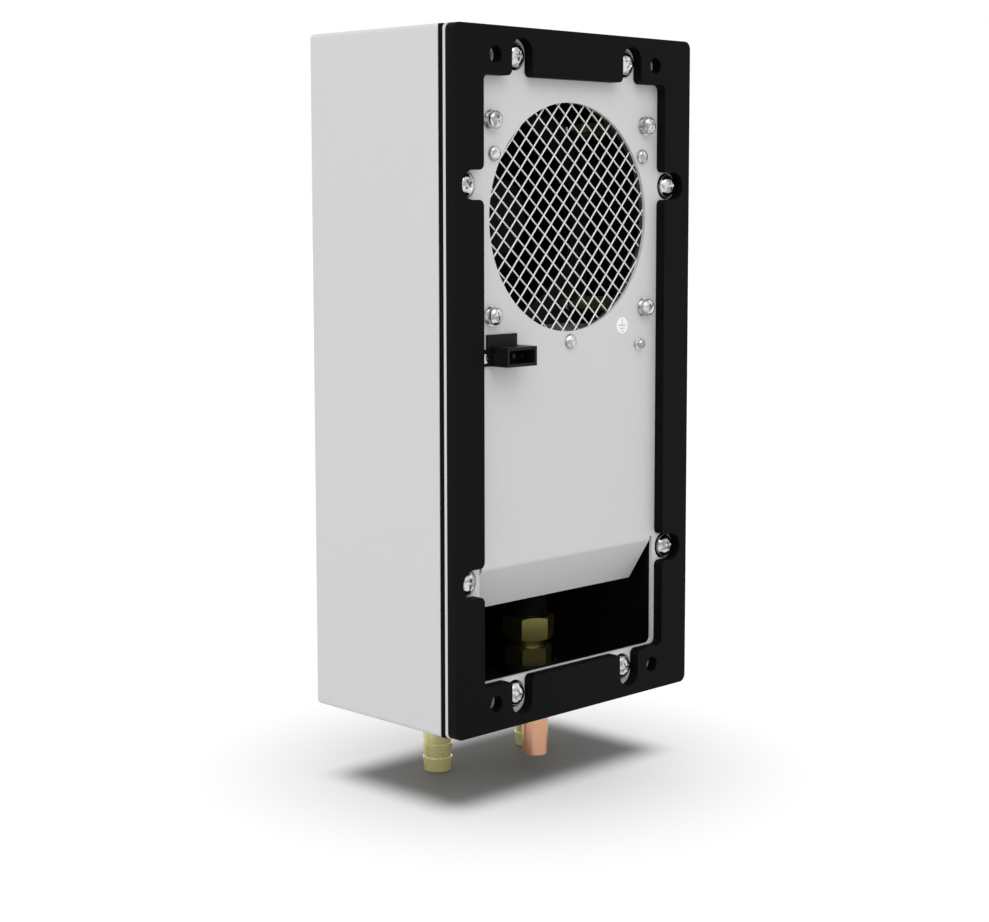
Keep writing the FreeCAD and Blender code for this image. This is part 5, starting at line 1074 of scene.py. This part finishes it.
@dataclass
class Studio:
    """Camera, lamps, floor and background.

    Attributes:
        eye: Place of the camera.
        azimuth: Degrees from Y towards X in which the camera stands.
        elevation: Degrees by which it looks down.
        lens: Focal length in millimetres.
        sensor: Width of its sensor in millimetres.
        shift: Shift of its lens across and up.
        clip_start: Nearest distance that it sees.
        floor_level: Height of the floor.
        floor_size: Length of its sides.
        floor_tone: Its tone as a source of light.
        floor_painted_shadow_tone: Its tone under the object where it is looked at: a dark painted
            shadow tone.
        floor_roughness: Its roughness.
        floor_specular: Strength of its plain reflection.
        painted_shadow_centre_y: Middle of the painted shadow under the object.
        painted_shadow_half: Half of the painted shadow's size along X and Y.
        painted_shadow_blur: Half the width of its soft edge.
        painted_shade_reach: Distance from the middle at which the painted shade round the shadow
            ends and the floor is fully white.
        painted_shade_depth: How much less white the painted shade makes the floor in the middle.
        lamps: The soft lamps.
        sky_level: Strength of the light from all round.
    """

    eye: tuple[float, float, float] = (0.6295, 0.5855, 0.07805)
    azimuth: float = 45.487
    elevation: float = 6.048
    lens: float = 71.16
    sensor: float = 36.0
    shift: tuple[float, float] = (-0.0301, -0.0553)
    clip_start: float = 0.01
    floor_level: float = -0.1837
    floor_size: float = 14.0
    floor_tone: float = 0.85
    floor_painted_shadow_tone: float = 0.2
    floor_roughness: float = 0.7
    floor_specular: float = 0.2
    painted_shadow_centre_y: float = -0.048
    painted_shadow_half: tuple[float, float] = (0.067, 0.039)
    painted_shadow_blur: float = 0.013
    painted_shade_reach: float = 0.225
    painted_shade_depth: float = 0.55
    lamps: tuple[Softbox, ...] = (Softbox("rear_softbox", (0.45, 1.15, 1.45), 8.4),
                                  Softbox("side_softbox", (1.45, -0.05, 1.25), 5.0))
    sky_level: float = 0.8

    def build(self) -> None:
        """Set up everything that isn't part of the object."""
        self.camera()
        self.floor()
        for lamp in self.lamps:
            lamp.build()
        self.sky()

    def camera(self) -> None:
        """Place the camera at the photograph's viewpoint."""
        data = bpy.data.cameras.new("camera")
        data.sensor_width = self.sensor
        data.lens = self.lens
        data.shift_x, data.shift_y = self.shift
        data.clip_start = self.clip_start
        made = bpy.data.objects.new("camera", data)
        turn, rise = math.radians(self.azimuth), math.radians(self.elevation)
        away = Vector((math.sin(turn) * math.cos(rise), math.cos(turn) * math.cos(rise),
                       math.sin(rise)))
        made.rotation_euler = away.to_track_quat("Z", "Y").to_euler()
        made.location = self.eye
        bpy.context.scene.collection.objects.link(made)
        bpy.context.scene.camera = made

    def floor(self) -> None:
        """Lay a white floor that keeps the object's shadow and carries a painted shadow and painted
        shade under and round the object.
        """
        mesh = bpy.data.meshes.new("studio_floor")
        half = self.floor_size / 2
        mesh.from_pydata([(-half, -half, self.floor_level), (half, -half, self.floor_level),
                          (half, half, self.floor_level), (-half, half, self.floor_level)],
                         [], [(0, 1, 2, 3)])
        mesh.materials.append(self.floor_material())
        made = bpy.data.objects.new("studio_floor", mesh)
        bpy.context.scene.collection.objects.link(made)

    def floor_material(self) -> bpy.types.Material:
        """Make the floor's material.

        Where it is looked at, the floor glows white, and the glow fades out under the object onto a
        dark
        painted tone: a painted shadow in the shape of the object's footprint, with painted shade
        round it, which the object's real shadow darkens further. As a source of light it is a plain
        pale floor.

        Returns:
            The new material.
        """
        material = bpy.data.materials.new("studio_white")
        material.use_nodes = True
        tree = material.node_tree
        shader = tree.nodes["Principled BSDF"]
        shader.inputs["Roughness"].default_value = self.floor_roughness
        shader.inputs["Specular IOR Level"].default_value = self.floor_specular
        shader.inputs["Emission Color"].default_value = (1.0, 1.0, 1.0, 1.0)
        seen, white = directly_seen(tree), self.share_outside_painted_shadow(tree)
        # Under the object the looked-at floor gets a dark painted tone: a painted shadow.
        painted_shadow_base = math_node(tree, "MULTIPLY", self.floor_painted_shadow_tone, opposite(tree, white))
        change = math_node(tree, "SUBTRACT", painted_shadow_base, self.floor_tone)
        tone = math_node(tree, "ADD", self.floor_tone, math_node(tree, "MULTIPLY", seen, change))
        link(tree, tone, shader.inputs["Base Color"])
        link(tree, math_node(tree, "MULTIPLY", seen, white), shader.inputs["Emission Strength"])
        return material

    def share_outside_painted_shadow(self, tree: bpy.types.NodeTree) -> bpy.types.NodeSocket:
        """How far the floor turns white, the rest being painted shadow: not under the object, and
        fully some way off.

        Args:
            tree: The floor's node tree.

        Returns:
            A socket from zero to one.
        """
        place = add(tree, "ShaderNodeTexCoord")
        centred = add(tree, "ShaderNodeVectorMath", operation="SUBTRACT")
        centred.inputs[1].default_value = (0.0, self.painted_shadow_centre_y, self.floor_level)
        link(tree, place.outputs["Object"], centred.inputs[0])
        away = add(tree, "ShaderNodeVectorMath", operation="LENGTH")
        link(tree, centred.outputs[0], away.inputs[0])
        # Painted shade round the middle, fading out towards painted_shade_reach.
        near = opposite(tree, smooth_ramp(tree, away.outputs["Value"], 0.0, self.painted_shade_reach))
        halo = math_node(tree, "MULTIPLY", self.painted_shade_depth,
                         math_node(tree, "MULTIPLY", near, near))
        # Painted shadow in the shape of the object's footprint, with soft edges.
        sides = add(tree, "ShaderNodeSeparateXYZ")
        link(tree, centred.outputs[0], sides.inputs[0])
        within = [opposite(tree, smooth_ramp(tree, math_node(tree, "ABSOLUTE", sides.outputs[axis]),
                                             reach - self.painted_shadow_blur, reach + self.painted_shadow_blur))
                  for axis, reach in zip("XY", self.painted_shadow_half)]
        under = math_node(tree, "MULTIPLY", *within)
        return math_node(tree, "MULTIPLY", opposite(tree, halo), opposite(tree, under))

    def sky(self) -> None:
        """Add soft grey light from all round, white where the camera looks straight at it."""
        world = bpy.data.worlds.new("studio_world")
        bpy.context.scene.world = world
        world.use_nodes = True
        tree = world.node_tree
        background = tree.nodes["Background"]
        lift = math_node(tree, "MULTIPLY", directly_seen(tree), 1.0 - self.sky_level)
        background.inputs["Color"].default_value = (1.0, 1.0, 1.0, 1.0)
        link(tree, math_node(tree, "ADD", lift, self.sky_level), background.inputs["Strength"])


def main() -> None:
    """Build and dress the heat exchanger and its studio."""
    logging.basicConfig(level=logging.INFO, format="%(name)s: %(message)s")
    bpy.context.scene.view_settings.view_transform = "Standard"
    shop = Workshop()
    shop.dress_nodes()
    InletGuard(shop).build()
    Fasteners(shop).build()
    EarthMark(shop).build()
    Studio().build()


if __name__ == "__main__":
    main()
